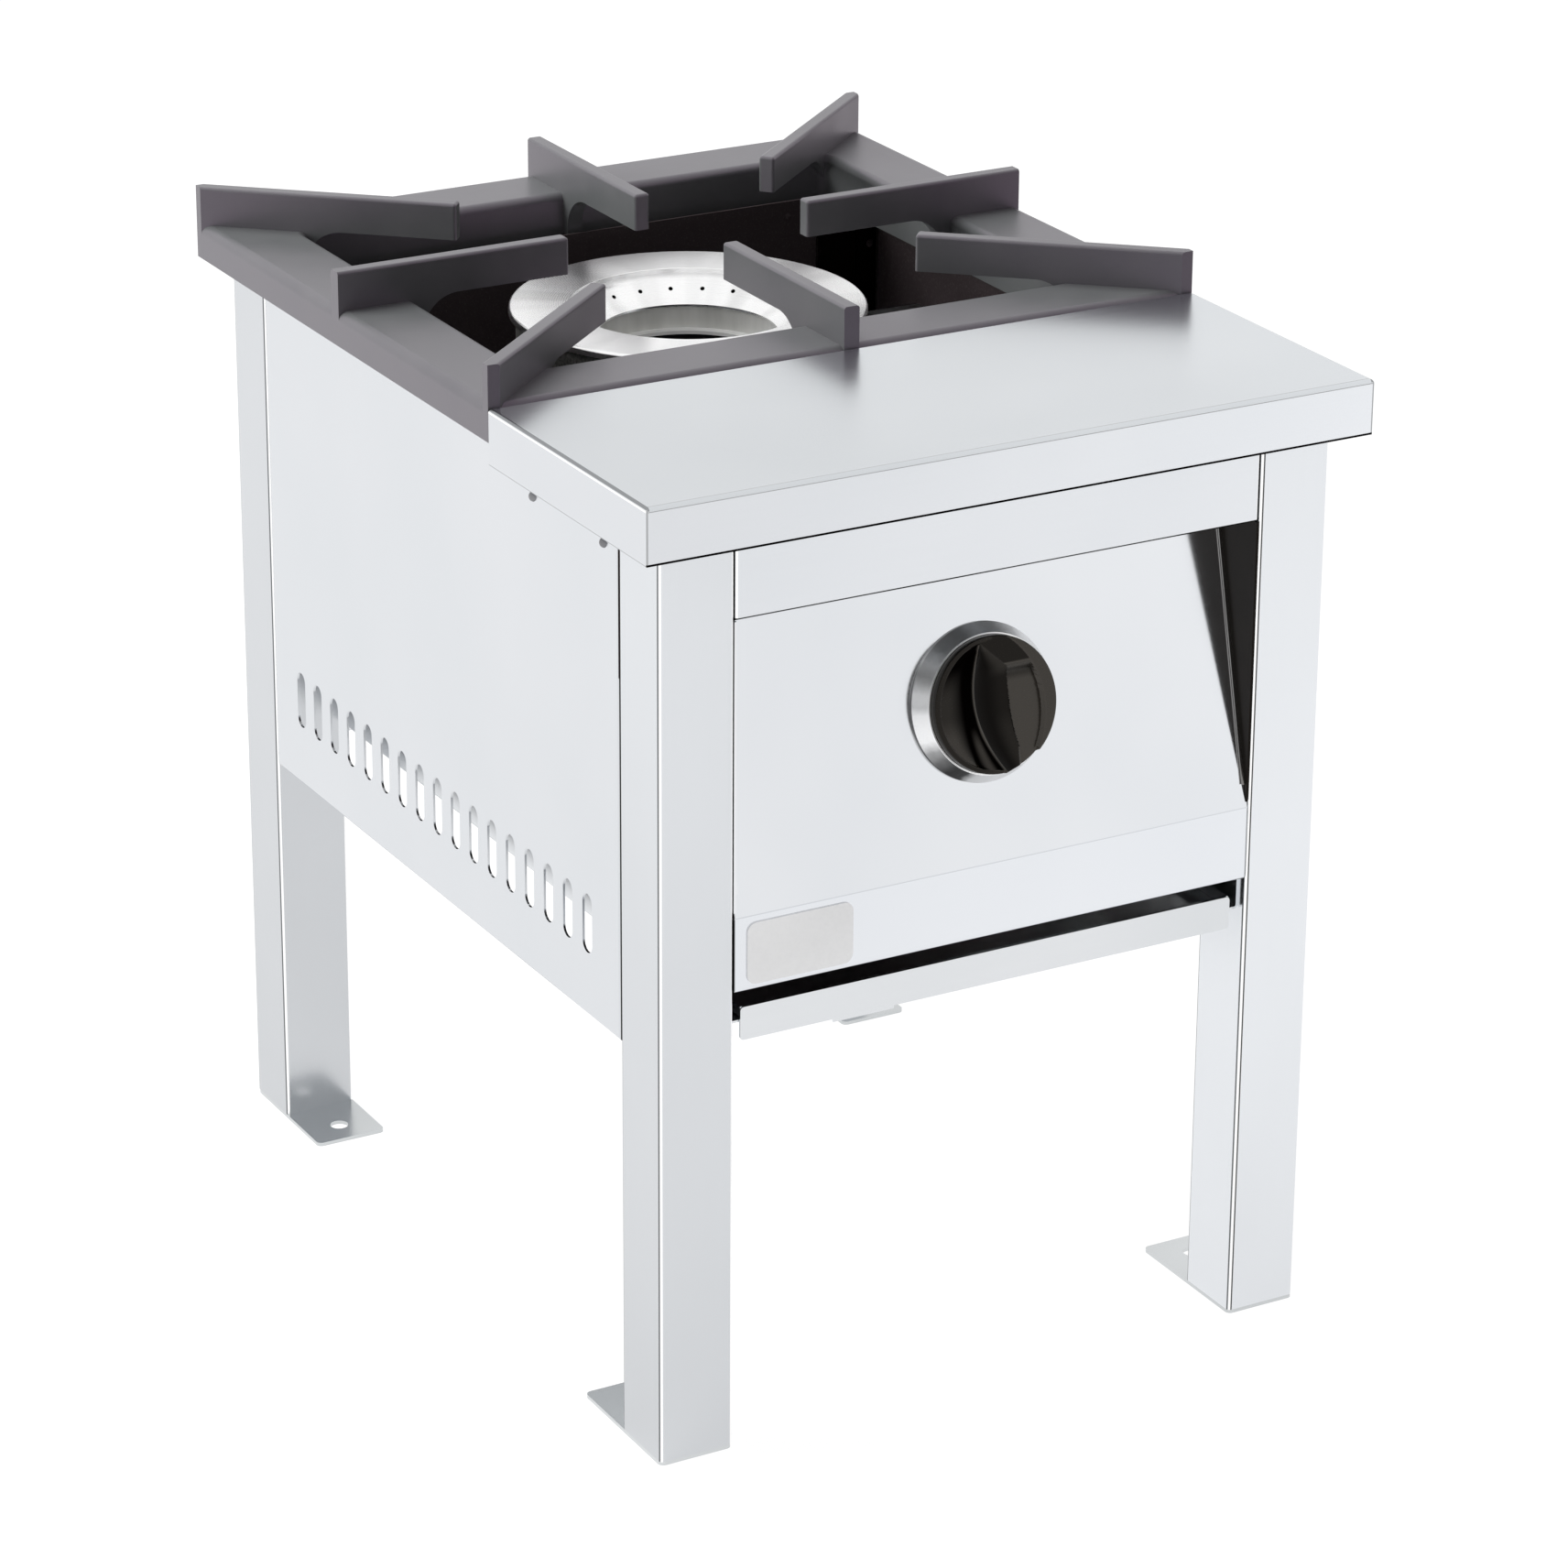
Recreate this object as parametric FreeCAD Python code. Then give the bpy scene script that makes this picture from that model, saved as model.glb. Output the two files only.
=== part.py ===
"""Free-standing stock pot range: a low gas hob on four square legs.

Millimetres, +Z up. X runs to the right seen from the front, Y runs to the back.
The origin lies on the floor under the middle of the range.
"""
import FreeCAD, Part
import math
import os

Vector = FreeCAD.Vector

# ---- overall ----
WIDTH = 400.0
DEPTH = 510.0
SHELF_TOP = 504.5
FACE_GAP = 0.3            # gap beside a loose or separately mounted piece
SHEET = 1.2               # steel sheet of the cabinet
BEND = 2.2                # outside radius of a cabinet bend

# ---- work shelf ----
SHELF_DEPTH = 162.0
SHELF_APRON = 28.5
SHELF_HEM = 10.0

# ---- legs and feet ----
LEG_SIZE = 40.0
LEG_WALL = 1.5
LEG_CORNER = 2.0
SIDE_INSET = 14.0         # shelf edge to the outer face of a leg
FRONT_INSET = 15.0
REAR_INSET = 13.0
FOOT_PLATE = 2.0
FOOT_LENGTH = 81.0
FOOT_CORNER = 3.0
FOOT_HOLE_RADIUS = 5.0
FOOT_HOLE_SETBACK = 24.5  # leg to the middle of the bolt hole

# ---- side and back panels ----
CABINET_HEIGHT = 292.0    # shelf's top down to the panels' lower edge
PANEL_FLANGE = 14.0
SLOT_COUNT = 17
SLOT_PITCH = 20.8
SLOT_WIDTH = 10.0
SLOT_HEIGHT = 31.0
SLOT_RISE = 49.1          # panels' lower edge to the middle of a slot

# ---- front panels ----
HEADER_HEIGHT = 69.5      # shelf's top to the header's lower edge
FRONT_RETURN = 12.0
PANEL_TILT = 13.0         # degrees from upright, top leaning back
STRIP_RISE = 32.5         # panels' lower edge to the strip
STRIP_HEIGHT = 39.0
CONTROL_PANEL_LAP = 11.0  # hidden behind the header
CHEEK_RISE = 3.0          # strip's top to the cheek's foot
EDGE_RISE = 12.0          # strip's top to the foot of the cheek's edge strip
EDGE_WIDTH = 1.8
EDGE_THICK = 1.0
NAME_PLATE_WIDTH = 58.0
NAME_PLATE_HEIGHT = 32.0
NAME_PLATE_THICK = 0.8
NAME_PLATE_CORNER = 5.0
NAME_PLATE_EDGE = 6.7     # strip's end to the plate
NAME_PLATE_RISE = 3.5     # strip's bottom to the plate

# ---- knob and bezel, along an axis square to the tilted face ----
KNOB_UP = 79.7            # from the bend at STRIP_TOP, along the tilted face
BEZEL_BASE_RADIUS = 39.5
BEZEL_RIM_RADIUS = 34.8
BEZEL_HEIGHT = 9.5
BEZEL_WALL = 0.7
BEZEL_FOOT = 1.0          # upright foot under the taper
BEZEL_HOLE_RADIUS = 10.0
KNOB_CLEARANCE = 0.4
KNOB_FACE = 14.5
KNOB_PUSH = 4.0
KNOB_EDGE = 0.8
KNOB_HUB_RADIUS = 7.0
KNOB_HUB_LOW = 1.0
SCOOP_DEPTH = 3.6
SCOOP_RADIUS = 31.4       # left edge of the two recesses, round the knob's centre
SCOOP_RIGHT_RADIUS = 43.6
SCOOP_RIGHT_CENTRE = (-16.8, -2.9)
NOTCH_ENDS = (10.5, 22.5) # the right recess opens here at the knob's foot
NOTCH_TOP = -22.0
FIN_PROUD = 1.6
FIN_TIP = (-5.8, 30.4)
FIN_LEFT = ((-12.4, 9.0), (-10.6, -13.1), (-0.6, -34.0))
FIN_RIGHT = ((4.2, 19.0), (5.0, 0.2), (8.3, -20.5), (12.2, -34.0))
SPINDLE_RADIUS = 4.0
SPINDLE_FLAT = 3.0        # from the axis to the flat
SPINDLE_END = 5.6         # below the knob's face
SOCKET_CAP = 4.8
FIT = 0.05                # radial running clearance

# ---- gas valve ----
PANEL_HOLE_RADIUS = 8.6
VALVE_SHOULDER = -14.0
VALVE_RADIUS = 15.0
VALVE_LENGTH = 26.0
MAGNET_RADIUS = 10.0
MAGNET_LENGTH = 12.0
NECK_RADIUS = 8.0
VALVE_CHAMFER = 1.0
NECK_END = -4.0
ROTOR_RADIUS = 6.0
ROTOR_LENGTH = 18.0
VALVE_PORT = -34.0        # gas ports, measured like the shoulder
BOSS_RADIUS = 8.0
BOSS_LENGTH = 24.0
BRACKET_THICK = 2.0
BRACKET_BEND = 3.0
BRACKET_CLEARANCE = 0.2   # round the valve's neck
BRACKET_WIDTH = 30.0
BRACKET_HALF_SPAN = 24.0
BRACKET_FLANGE = 12.0
NUT_FLATS = 24.0
NUT_THICK = 5.0

# ---- gas line ----
INLET_IN = 45.7           # back panel's side to the inlet
INLET_RISE = 27.0         # above the drip tray's lip
INLET_RADIUS = 10.48
INLET_SHANK_RADIUS = 11.5
INLET_BORE = 7.0
INLET_HEX = 27.0
INLET_HEX_LENGTH = 14.0
INLET_CHAMFER = 1.0
LOCKNUT_THICK = 4.0
RAIL_RADIUS = 7.5
RAIL_WALL = 1.2
RAIL_BEND = 22.0
FEED_RADIUS = 5.0
FEED_WALL = 1.0
FEED_BEND = 14.0

# ---- burner ----
BURNER_FORWARD = 3.0      # burner axis ahead of the pan support's middle
RING_DROP = 24.9          # below the pan support's top
RING_RADIUS = 93.7
RING_SHEET = 1.5
RING_LIP = 4.0
RING_EDGE_BEND = 1.6
BOWL_RADIUS = 62.0
BOWL_HOLE_RADIUS = 47.0
BOWL_DEPTH = 15.6
BOWL_WIDENING = (0.89, 0.4)   # the bowl's outline: how far out at
BOWL_SINKING = (0.4, 0.85)    # what share of its depth
BOWL_BEND = 10.0
FLAME_HOLES = 21
FLAME_HOLE_RADIUS = 1.2
FIRST_HOLE_ANGLE = 88.5
BODY_HEIGHT = 46.6        # ring's top to the body's underside
RING_OVERHANG = 3.7
BODY_WALL = 3.0
BODY_EDGE = 2.0
THROAT_STEP = 3.0         # bowl's hole to the throat's wall
THROAT_LIP_STEP = 4.7     # throat's wall to the inner edge of its lip
THROAT_LIP_DROP = 29.6
THROAT_LIP_THICK = 2.0
TUBE_DROP = 28.6
TUBE_MOUTH_RADIUS = 20.0
TUBE_NECK_RADIUS = 12.5
TUBE_END_RADIUS = 15.5
TUBE_WALL = 1.6
TUBE_AHEAD = 35.2         # mouth ahead of the pan support
TUBE_MOUTH_LENGTH = 8.0
TUBE_BELL_LENGTH = 22.0
SHUTTER_WALL = 1.2
SHUTTER_LENGTH = 20.0
SHUTTER_WINDOWS = 3
WINDOW_RADIUS = 5.0
INJECTOR_FLATS = 10.8
INJECTOR_LENGTH = 9.0
INJECTOR_TIP_LENGTH = 3.0
INJECTOR_TIP_RADII = (4.8, 1.8)
INJECTOR_HOLE_RADIUS = 6.5
HOLDER_RADIUS = 9.0
HOLDER_LENGTH = 24.0
HOLDER_DROP = 13.0
HOLDER_DROP_RADIUS = 8.0
HOLDER_CHAMFER = 1.5
BAR_WIDTH = 25.0
BAR_THICK = 3.0
BAR_BEND = 4.0
BAR_GAP = 3.5             # between the front bar and the probe
BAR_FLANGE = 24.0
PROBE_RADIUS = 3.0
PROBE_DROP = 19.6         # ring's top to the probe's tip
PROBE_LENGTH = 34.0
PROBE_GAP = 2.5           # to the throat's lip
PROBE_TIP_RADIUS = 1.6
PROBE_TIP_LENGTH = 12.0
CLIP_THICK = 1.5
CLIP_WIDTH = 12.0
LEAD_RADIUS = 1.2
LEAD_DROP = 38.0          # below the mixing tube's axis
LEAD_AHEAD = 19.3         # turns down ahead of the pan support
LEAD_BEND = 7.0
LEAD_HOLE_RADIUS = 3.6

# ---- black lining of the burner space ----
LINER_SHEET = 0.8
LINER_HEIGHT = 186.0
LINER_DROP = 19.5         # below the pan support's top
LINER_LEDGE = 14.0
RIVET_RADIUS = 2.2
RIVET_HEAD = 1.2
RIVET_IN = 18.0           # rivet to the edge of the lining
RIVET_DOWN = 9.0
LEG_RIVET_IN = 6.0
LEG_RIVET_DOWN = 31.0

# ---- pan support ----
GRATE_RISE = 1.0          # above the shelf
GRATE_WALL = 3.0
GRATE_BAR = 42.0
GRATE_SKIRT = 18.5
GRATE_INNER_SKIRT = 26.5
GRATE_BEND = 5.0
GRATE_INNER_BEND = 4.0
GRATE_OPENING_CORNER = 6.0
FINGER_HEIGHT = 20.5
FINGER_WIDTH = 8.6
FINGER_LIFT = 1.0         # underside above the frame's top
FINGER_EDGE = 1.6
FINGER_STEM = 5.0
FINGER_STEM_DEPTH = 22.0
FINGER_ARC = 20.0
FRONT_FINGER_END = 48.0   # inner ends, from the middle of the pan support
SIDE_FINGER_END = 70.0
CORNER_FINGER_END = 122.0
STEP_GAP = 0.5            # leg notch round the frame

# ---- drip tray and runners ----
TRAY_SIDE_GAP = 6.4       # tray to the leg
LIP_SIDE_GAP = 6.0
LIP_SETBACK = 4.3
FINGER_GAP = 10.0         # between the tray's lip and the control panel
LIP_HEIGHT = 17.3
LIP_CORNER = 2.0
TRAY_SHEET = 1.0
TRAY_BEND = 1.5
TRAY_DEPTH = 6.5
TRAY_REAR_GAP = 17.0      # tray to the back panel's face
TONGUE_WIDTH = 34.0
TONGUE_IN = 52.0          # lip's left end to the tongue
TONGUE_DROP = 2.2
TONGUE_LAP = 4.0
RUNNER_WIDTH = 18.0
RUNNER_HEIGHT = 17.5
STOP_HEIGHT = 7.0

# ---- shelf screws ----
SCREW_RADIUS = 2.6
SCREW_HEAD = 2.0
SCREW_DOWN = 12.5         # below the shelf's apron
SCREW_PLACES = (18.5, 92.0)   # ahead of the shelf's rear edge

# ---- derived places ----
FRONT = -DEPTH / 2
BACK = DEPTH / 2
LEG_OUT = WIDTH / 2 - SIDE_INSET
LEG_IN = LEG_OUT - LEG_SIZE
FRONT_LEG_FACE = FRONT + FRONT_INSET
FRONT_LEG_REAR = FRONT_LEG_FACE + LEG_SIZE
REAR_LEG_REAR = BACK - REAR_INSET
REAR_LEG_FACE = REAR_LEG_REAR - LEG_SIZE
SHELF_REAR = FRONT + SHELF_DEPTH
SHELF_UNDER = SHELF_TOP - SHEET
PANEL_BOTTOM = SHELF_TOP - CABINET_HEIGHT
SLOT_MIDDLE = PANEL_BOTTOM + SLOT_RISE
HEADER_BOTTOM = SHELF_TOP - HEADER_HEIGHT
STRIP_BOTTOM = PANEL_BOTTOM + STRIP_RISE
STRIP_TOP = STRIP_BOTTOM + STRIP_HEIGHT
CONTROL_PANEL_TOP = HEADER_BOTTOM + CONTROL_PANEL_LAP
GRATE_TOP = SHELF_TOP + GRATE_RISE
GRATE_FRONT = SHELF_REAR + FACE_GAP
GRATE_MIDDLE = (GRATE_FRONT + BACK) / 2
GRATE_UNDER = GRATE_TOP - GRATE_WALL
CABINET_TOP = GRATE_UNDER - FACE_GAP
GRATE_INNER_LOW = GRATE_TOP - GRATE_INNER_SKIRT
OPENING_X = WIDTH / 2 - GRATE_BAR
OPENING_FRONT = GRATE_FRONT + GRATE_BAR
OPENING_BACK = BACK - GRATE_BAR
BURNER_Y = GRATE_MIDDLE - BURNER_FORWARD
RING_TOP = GRATE_TOP - RING_DROP
BODY_BOTTOM = RING_TOP - BODY_HEIGHT
BODY_RADIUS = RING_RADIUS - RING_OVERHANG
BURNER_FACE = BURNER_Y - BODY_RADIUS
THROAT_RADIUS = BOWL_HOLE_RADIUS + THROAT_STEP
THROAT_LIP_RADIUS = THROAT_RADIUS - THROAT_LIP_STEP
TUBE_HEIGHT = RING_TOP - TUBE_DROP
PROBE_OFFSET = THROAT_LIP_RADIUS - PROBE_GAP - PROBE_RADIUS
BAR_SPREAD = PROBE_OFFSET + PROBE_RADIUS + BAR_GAP + BAR_WIDTH / 2
LEAD_HEIGHT = TUBE_HEIGHT - LEAD_DROP
LEAD_TURN_Y = GRATE_FRONT - LEAD_AHEAD
LINER_TOP = GRATE_TOP - LINER_DROP
LINER_BOTTOM = LINER_TOP - LINER_HEIGHT
TAN_TILT = math.tan(math.radians(PANEL_TILT))
SIN_TILT = math.sin(math.radians(PANEL_TILT))
COS_TILT = math.cos(math.radians(PANEL_TILT))
KNOB_CENTRE = Vector(0, FRONT_LEG_FACE + KNOB_UP * SIN_TILT, STRIP_TOP + KNOB_UP * COS_TILT)
KNOB_AXIS = Vector(0, -COS_TILT, SIN_TILT)
PANEL_HALF = LEG_IN - FACE_GAP
PANEL_FLANGE_FACE = REAR_LEG_FACE - FACE_GAP - SHEET
LINER_X = LEG_OUT - SHEET
LIP_TOP = STRIP_BOTTOM - FINGER_GAP
LIP_FACE = FRONT_LEG_FACE + LIP_SETBACK
LIP_HALF_WIDTH = LEG_IN - LIP_SIDE_GAP
TRAY_HALF_WIDTH = LEG_IN - TRAY_SIDE_GAP
TRAY_BOTTOM = LIP_TOP - TRAY_DEPTH
TRAY_REAR = REAR_LEG_REAR - TRAY_REAR_GAP
RUNNER_TOP = TRAY_BOTTOM - FACE_GAP
INLET_X = PANEL_HALF - INLET_IN
INLET_HEIGHT = LIP_TOP + INLET_RISE
TUBE_MOUTH_Y = GRATE_FRONT - TUBE_AHEAD
TUBE_BELL_Y = TUBE_MOUTH_Y + TUBE_MOUTH_LENGTH
TUBE_NECK_Y = TUBE_BELL_Y + TUBE_BELL_LENGTH
SHUTTER_Y = TUBE_MOUTH_Y - 4 * SHUTTER_WALL
HOLDER_Y = SHUTTER_Y - HOLDER_LENGTH / 2
BIG = 1000.0              # reach of a cutting block


# ---- shapes used by several pieces ----
def block(low, high):
    size = [b - a for a, b in zip(low, high)]
    return Part.makeBox(*size, Vector(*low))


def cylinder(radius, base, axis, length):
    return Part.makeCylinder(radius, length, Vector(*base), Vector(*axis))


def mirror_x(shape):
    return shape.mirror(Vector(0, 0, 0), Vector(1, 0, 0))


def rounded_path(points, radii):
    """Straight runs joined by tangent arcs, of one radius or one for each corner."""
    points = [Vector(*p) for p in points]
    if not isinstance(radii, (list, tuple)):
        radii = [radii] * (len(points) - 2)
    edges = []
    start = points[0]
    for before, corner, after, radius in zip(points, points[1:], points[2:], radii):
        into = (corner - before).normalize()
        out = (after - corner).normalize()
        turn = into.getAngle(out)
        reach = radius * math.tan(turn / 2)
        first = corner - into * reach
        last = corner + out * reach
        inward = (out - into).normalize()
        middle = corner + inward * (radius / math.cos(turn / 2) - radius)
        edges.append(Part.LineSegment(start, first).toShape())
        edges.append(Part.Arc(first, middle, last).toShape())
        start = last
    edges.append(Part.LineSegment(start, points[-1]).toShape())
    return Part.Wire(edges)


def folded_strip(points, wall, bend, run):
    """Sheet of one thickness, folded along a path and run out along a vector."""
    path = rounded_path(points, bend)
    face = path.makeOffset2D(wall, 0, True, True)
    return face.extrude(Vector(*run))


def edges_of_face(shape, axis, side):
    """Edges of the outermost flat face on one side of a shape."""
    bounds = shape.BoundBox
    limit = {
        (0, -1): bounds.XMin, (0, 1): bounds.XMax,
        (1, -1): bounds.YMin, (1, 1): bounds.YMax,
        (2, -1): bounds.ZMin, (2, 1): bounds.ZMax,
    }[(axis, side)]
    for face in shape.Faces:
        box = face.BoundBox
        low = (box.XMin, box.YMin, box.ZMin)[axis]
        high = (box.XMax, box.YMax, box.ZMax)[axis]
        if abs(low - limit) < 1e-6 and abs(high - limit) < 1e-6:
            return face
    raise ValueError("no flat face on that side")


def folded_pan(low, high, axis, side, wall, bend):
    """Shallow pan of sheet with four folded flanges, open on one side."""
    pan = block(low, high)
    closed = edges_of_face(pan, axis, -side)
    pan = pan.makeFillet(bend, closed.Edges)
    return pan.makeThickness([edges_of_face(pan, axis, side)], -wall, 1e-3)


def upright_edges(shape):
    found = []
    for edge in shape.Edges:
        a, b = edge.Vertexes[0].Point, edge.Vertexes[-1].Point
        if abs(a.x - b.x) < 1e-6 and abs(a.y - b.y) < 1e-6 and abs(a.z - b.z) > 1e-6:
            found.append(edge)
    return found


def rounded_block(low, high, radius):
    solid = block(low, high)
    return solid.makeFillet(radius, upright_edges(solid))


def turned(profile, centre_y):
    """Closed outline of (radius, height) points turned about an upright axis."""
    points = [Vector(r, centre_y, z) for r, z in profile]
    face = Part.Face(Part.makePolygon(points + points[:1]))
    return face.revolve(Vector(0, centre_y, 0), Vector(0, 0, 1), 360)


def hexagon(flats, thick, centre, axis):
    corner = flats / math.sqrt(3)
    points = []
    for i in range(7):
        angle = math.radians(60 * i)
        points.append(Vector(corner * math.cos(angle), corner * math.sin(angle), 0))
    solid = Part.Face(Part.makePolygon(points)).extrude(Vector(0, 0, thick))
    turn = FreeCAD.Rotation(Vector(0, 0, 1), Vector(*axis))
    solid.Placement = FreeCAD.Placement(Vector(*centre), turn)
    return solid


def pipe(points, bend, radius, wall):
    """Round tube along straight runs and bends; a wall of 0 makes it solid."""
    path = rounded_path(points, bend)
    start = Vector(*points[0])
    along = Vector(*points[1]) - start

    def sweep(r):
        ring = Part.Wire(Part.makeCircle(r, start, along))
        return path.makePipeShell([ring], True, False)

    solid = sweep(radius)
    return solid.cut(sweep(radius - wall)) if wall else solid


def on_knob_axis(shape):
    """Move a shape made round +Z at the origin onto the tilted knob axis."""
    tilt = FreeCAD.Rotation(Vector(1, 0, 0), 90 - PANEL_TILT)
    shape.Placement = FreeCAD.Placement(KNOB_CENTRE, tilt)
    return shape


def knob_point(out):
    return KNOB_CENTRE + KNOB_AXIS * out


# ---- legs and feet ----
def leg(front):
    near = FRONT_LEG_FACE if front else REAR_LEG_FACE
    top = SHELF_UNDER if front else CABINET_TOP
    low = (LEG_IN, near, FOOT_PLATE)
    high = (LEG_OUT, near + LEG_SIZE, top)
    tube = rounded_block(low, high, LEG_CORNER)
    bore = block(
        (LEG_IN + LEG_WALL, near + LEG_WALL, 0),
        (LEG_OUT - LEG_WALL, near + LEG_SIZE - LEG_WALL, BIG),
    )
    tube = tube.cut(bore)
    if not front:
        # the inner corner is cut down, so that the pan support's rim passes
        rim = GRATE_WALL + STEP_GAP
        tube = tube.cut(block(
            (0, 0, GRATE_INNER_LOW - STEP_GAP),
            (OPENING_X + rim, OPENING_BACK + rim, BIG),
        ))
    return tube


def foot_plate(front):
    near = FRONT_LEG_FACE if front else REAR_LEG_REAR - FOOT_LENGTH
    plate = rounded_block(
        (LEG_IN, near, 0), (LEG_OUT, near + FOOT_LENGTH, FOOT_PLATE), FOOT_CORNER
    )
    hole_y = FRONT_LEG_REAR + FOOT_HOLE_SETBACK
    if not front:
        hole_y = REAR_LEG_FACE - FOOT_HOLE_SETBACK
    hole_x = LEG_OUT - LEG_SIZE / 2
    return plate.cut(cylinder(FOOT_HOLE_RADIUS, (hole_x, hole_y, -1), (0, 0, 1), BIG))


# ---- cabinet ----
def obround(x, y, z, width, height, length):
    """Upright slot cutter along X."""
    end = (height - width) / 2
    slot = block((x, y - width / 2, z - end), (x + length, y + width / 2, z + end))
    for dz in (-end, end):
        slot = slot.fuse(cylinder(width / 2, (x, y, z + dz), (1, 0, 0), length))
    return slot.removeSplitter()


def side_panel():
    """Right-hand panel; four flanges fold inwards."""
    panel = folded_pan(
        (LEG_OUT - PANEL_FLANGE, FRONT_LEG_REAR + FACE_GAP, PANEL_BOTTOM),
        (LEG_OUT, REAR_LEG_FACE - FACE_GAP, CABINET_TOP),
        0, -1, SHEET, BEND,
    )
    middle = (FRONT_LEG_REAR + REAR_LEG_FACE) / 2
    slots = []
    for i in range(SLOT_COUNT):
        y = middle + (i - (SLOT_COUNT - 1) / 2) * SLOT_PITCH
        slots.append(obround(
            LEG_OUT - 2 * BEND, y, SLOT_MIDDLE, SLOT_WIDTH, SLOT_HEIGHT, 4 * BEND
        ))
    return panel.cut(Part.Compound(slots))


def back_panel():
    panel = folded_pan(
        (-PANEL_HALF, REAR_LEG_REAR - PANEL_FLANGE, PANEL_BOTTOM),
        (PANEL_HALF, REAR_LEG_REAR, CABINET_TOP),
        1, -1, SHEET, BEND,
    )
    hole = cylinder(
        INLET_SHANK_RADIUS + FACE_GAP, (INLET_X, REAR_LEG_FACE, INLET_HEIGHT), (0, 1, 0), BIG
    )
    return panel.cut(hole)


def work_shelf():
    low = (-WIDTH / 2, FRONT, SHELF_TOP - SHELF_APRON)
    high = (WIDTH / 2, SHELF_REAR, SHELF_TOP)
    shelf = folded_pan(low, high, 2, -1, SHEET, BEND)
    hem_top = low[2] + SHEET
    inner = WIDTH / 2 - SHEET
    front_hem = block((-inner, FRONT + SHEET, low[2]), (inner, FRONT + SHELF_HEM, hem_top))
    shelf = shelf.fuse(front_hem)
    for side in (-1, 1):
        a, b = sorted((side * inner, side * (WIDTH / 2 - SHELF_HEM)))
        hem = block((a, FRONT + SHELF_HEM, low[2]), (b, SHELF_REAR - SHEET, hem_top))
        shelf = shelf.fuse(hem)
    # the rear flange is cut back where the side panels pass it
    reach = LEG_OUT - PANEL_FLANGE - FACE_GAP
    for side in (-1, 1):
        a, b = sorted((side * reach, side * (WIDTH / 2 - SHEET)))
        notch = block((a, SHELF_REAR - SHEET, 0), (b, SHELF_REAR + 1, CABINET_TOP + FACE_GAP))
        shelf = shelf.cut(notch)
    return shelf.removeSplitter()


def header_panel():
    return folded_pan(
        (-PANEL_HALF, FRONT_LEG_FACE, HEADER_BOTTOM),
        (PANEL_HALF, FRONT_LEG_FACE + FRONT_RETURN, SHELF_UNDER),
        1, 1, SHEET, BEND,
    )


def tilted_face_y(z):
    """Y of the tilted face's front at a height."""
    return FRONT_LEG_FACE + (z - STRIP_TOP) * TAN_TILT


def control_panel():
    """One sheet: bottom return, upright strip, tilted face, top return."""
    half = PANEL_HALF
    top_y = tilted_face_y(CONTROL_PANEL_TOP)
    outline = [
        (-half, FRONT_LEG_FACE + FRONT_RETURN, STRIP_BOTTOM),
        (-half, FRONT_LEG_FACE, STRIP_BOTTOM),
        (-half, FRONT_LEG_FACE, STRIP_TOP),
        (-half, top_y, CONTROL_PANEL_TOP),
        (-half, top_y + FRONT_RETURN, CONTROL_PANEL_TOP),
    ]
    panel = folded_strip(outline, SHEET, BEND, (2 * half, 0, 0))
    for side in (-1, 1):
        a, b = sorted((side * half, side * (half - SHEET)))
        panel = panel.fuse(block(
            (a, FRONT_LEG_FACE + SHEET, STRIP_BOTTOM + SHEET),
            (b, FRONT_LEG_FACE + FRONT_RETURN, STRIP_TOP - BEND),
        ))
    hole = on_knob_axis(Part.makeCylinder(PANEL_HOLE_RADIUS, 4 * BEND, Vector(0, 0, -2 * BEND)))
    return panel.cut(hole).removeSplitter()


def cheek_outline(x, corners):
    """Side view of a sheet beside the tilted face, from heights and overhangs."""
    points = [Vector(x, tilted_face_y(z) - ahead, z) for z, ahead in corners]
    return Part.Face(Part.makePolygon(points + points[:1]))


def panel_cheek():
    """Right-hand cheek: fills the wedge between the tilted face and the leg's front."""
    top = HEADER_BOTTOM - FACE_GAP
    foot = STRIP_TOP + CHEEK_RISE
    front = FRONT_LEG_FACE + FACE_GAP
    face = cheek_outline(LEG_IN - SHEET, [
        (foot, FACE_GAP),
        (top, FACE_GAP),
        (top, tilted_face_y(top) - front),
        (foot, tilted_face_y(foot) - front),
    ])
    return face.extrude(Vector(SHEET, 0, 0))


def cheek_edge():
    """Right-hand edge strip, turned in over the end of the tilted face."""
    top = HEADER_BOTTOM - FACE_GAP
    low = STRIP_TOP + EDGE_RISE
    proud = FACE_GAP + EDGE_THICK
    face = cheek_outline(LEG_IN - SHEET - EDGE_WIDTH, [
        (low, proud), (low, FACE_GAP), (top, FACE_GAP), (top, proud)
    ])
    return face.extrude(Vector(EDGE_WIDTH, 0, 0))


def name_plate():
    right = -PANEL_HALF + NAME_PLATE_EDGE + NAME_PLATE_WIDTH
    low = STRIP_BOTTOM + NAME_PLATE_RISE
    plate = block(
        (right - NAME_PLATE_WIDTH, FRONT_LEG_FACE - NAME_PLATE_THICK, low),
        (right, FRONT_LEG_FACE, low + NAME_PLATE_HEIGHT),
    )
    through = [e for e in plate.Edges if abs(e.BoundBox.YLength - NAME_PLATE_THICK) < 1e-6]
    return plate.makeFillet(NAME_PLATE_CORNER, through)


# ---- knob ----
def knob_bezel():
    """Tapered steel ring with a thin floor on the panel."""
    base, rim, wall = BEZEL_BASE_RADIUS, BEZEL_RIM_RADIUS, BEZEL_WALL
    profile = [
        (BEZEL_HOLE_RADIUS, 0), (base, 0), (base, BEZEL_FOOT), (rim, BEZEL_HEIGHT),
        (rim - wall, BEZEL_HEIGHT), (base - 2 * wall, wall), (BEZEL_HOLE_RADIUS, wall),
    ]
    return on_knob_axis(turned(profile, 0))


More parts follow.
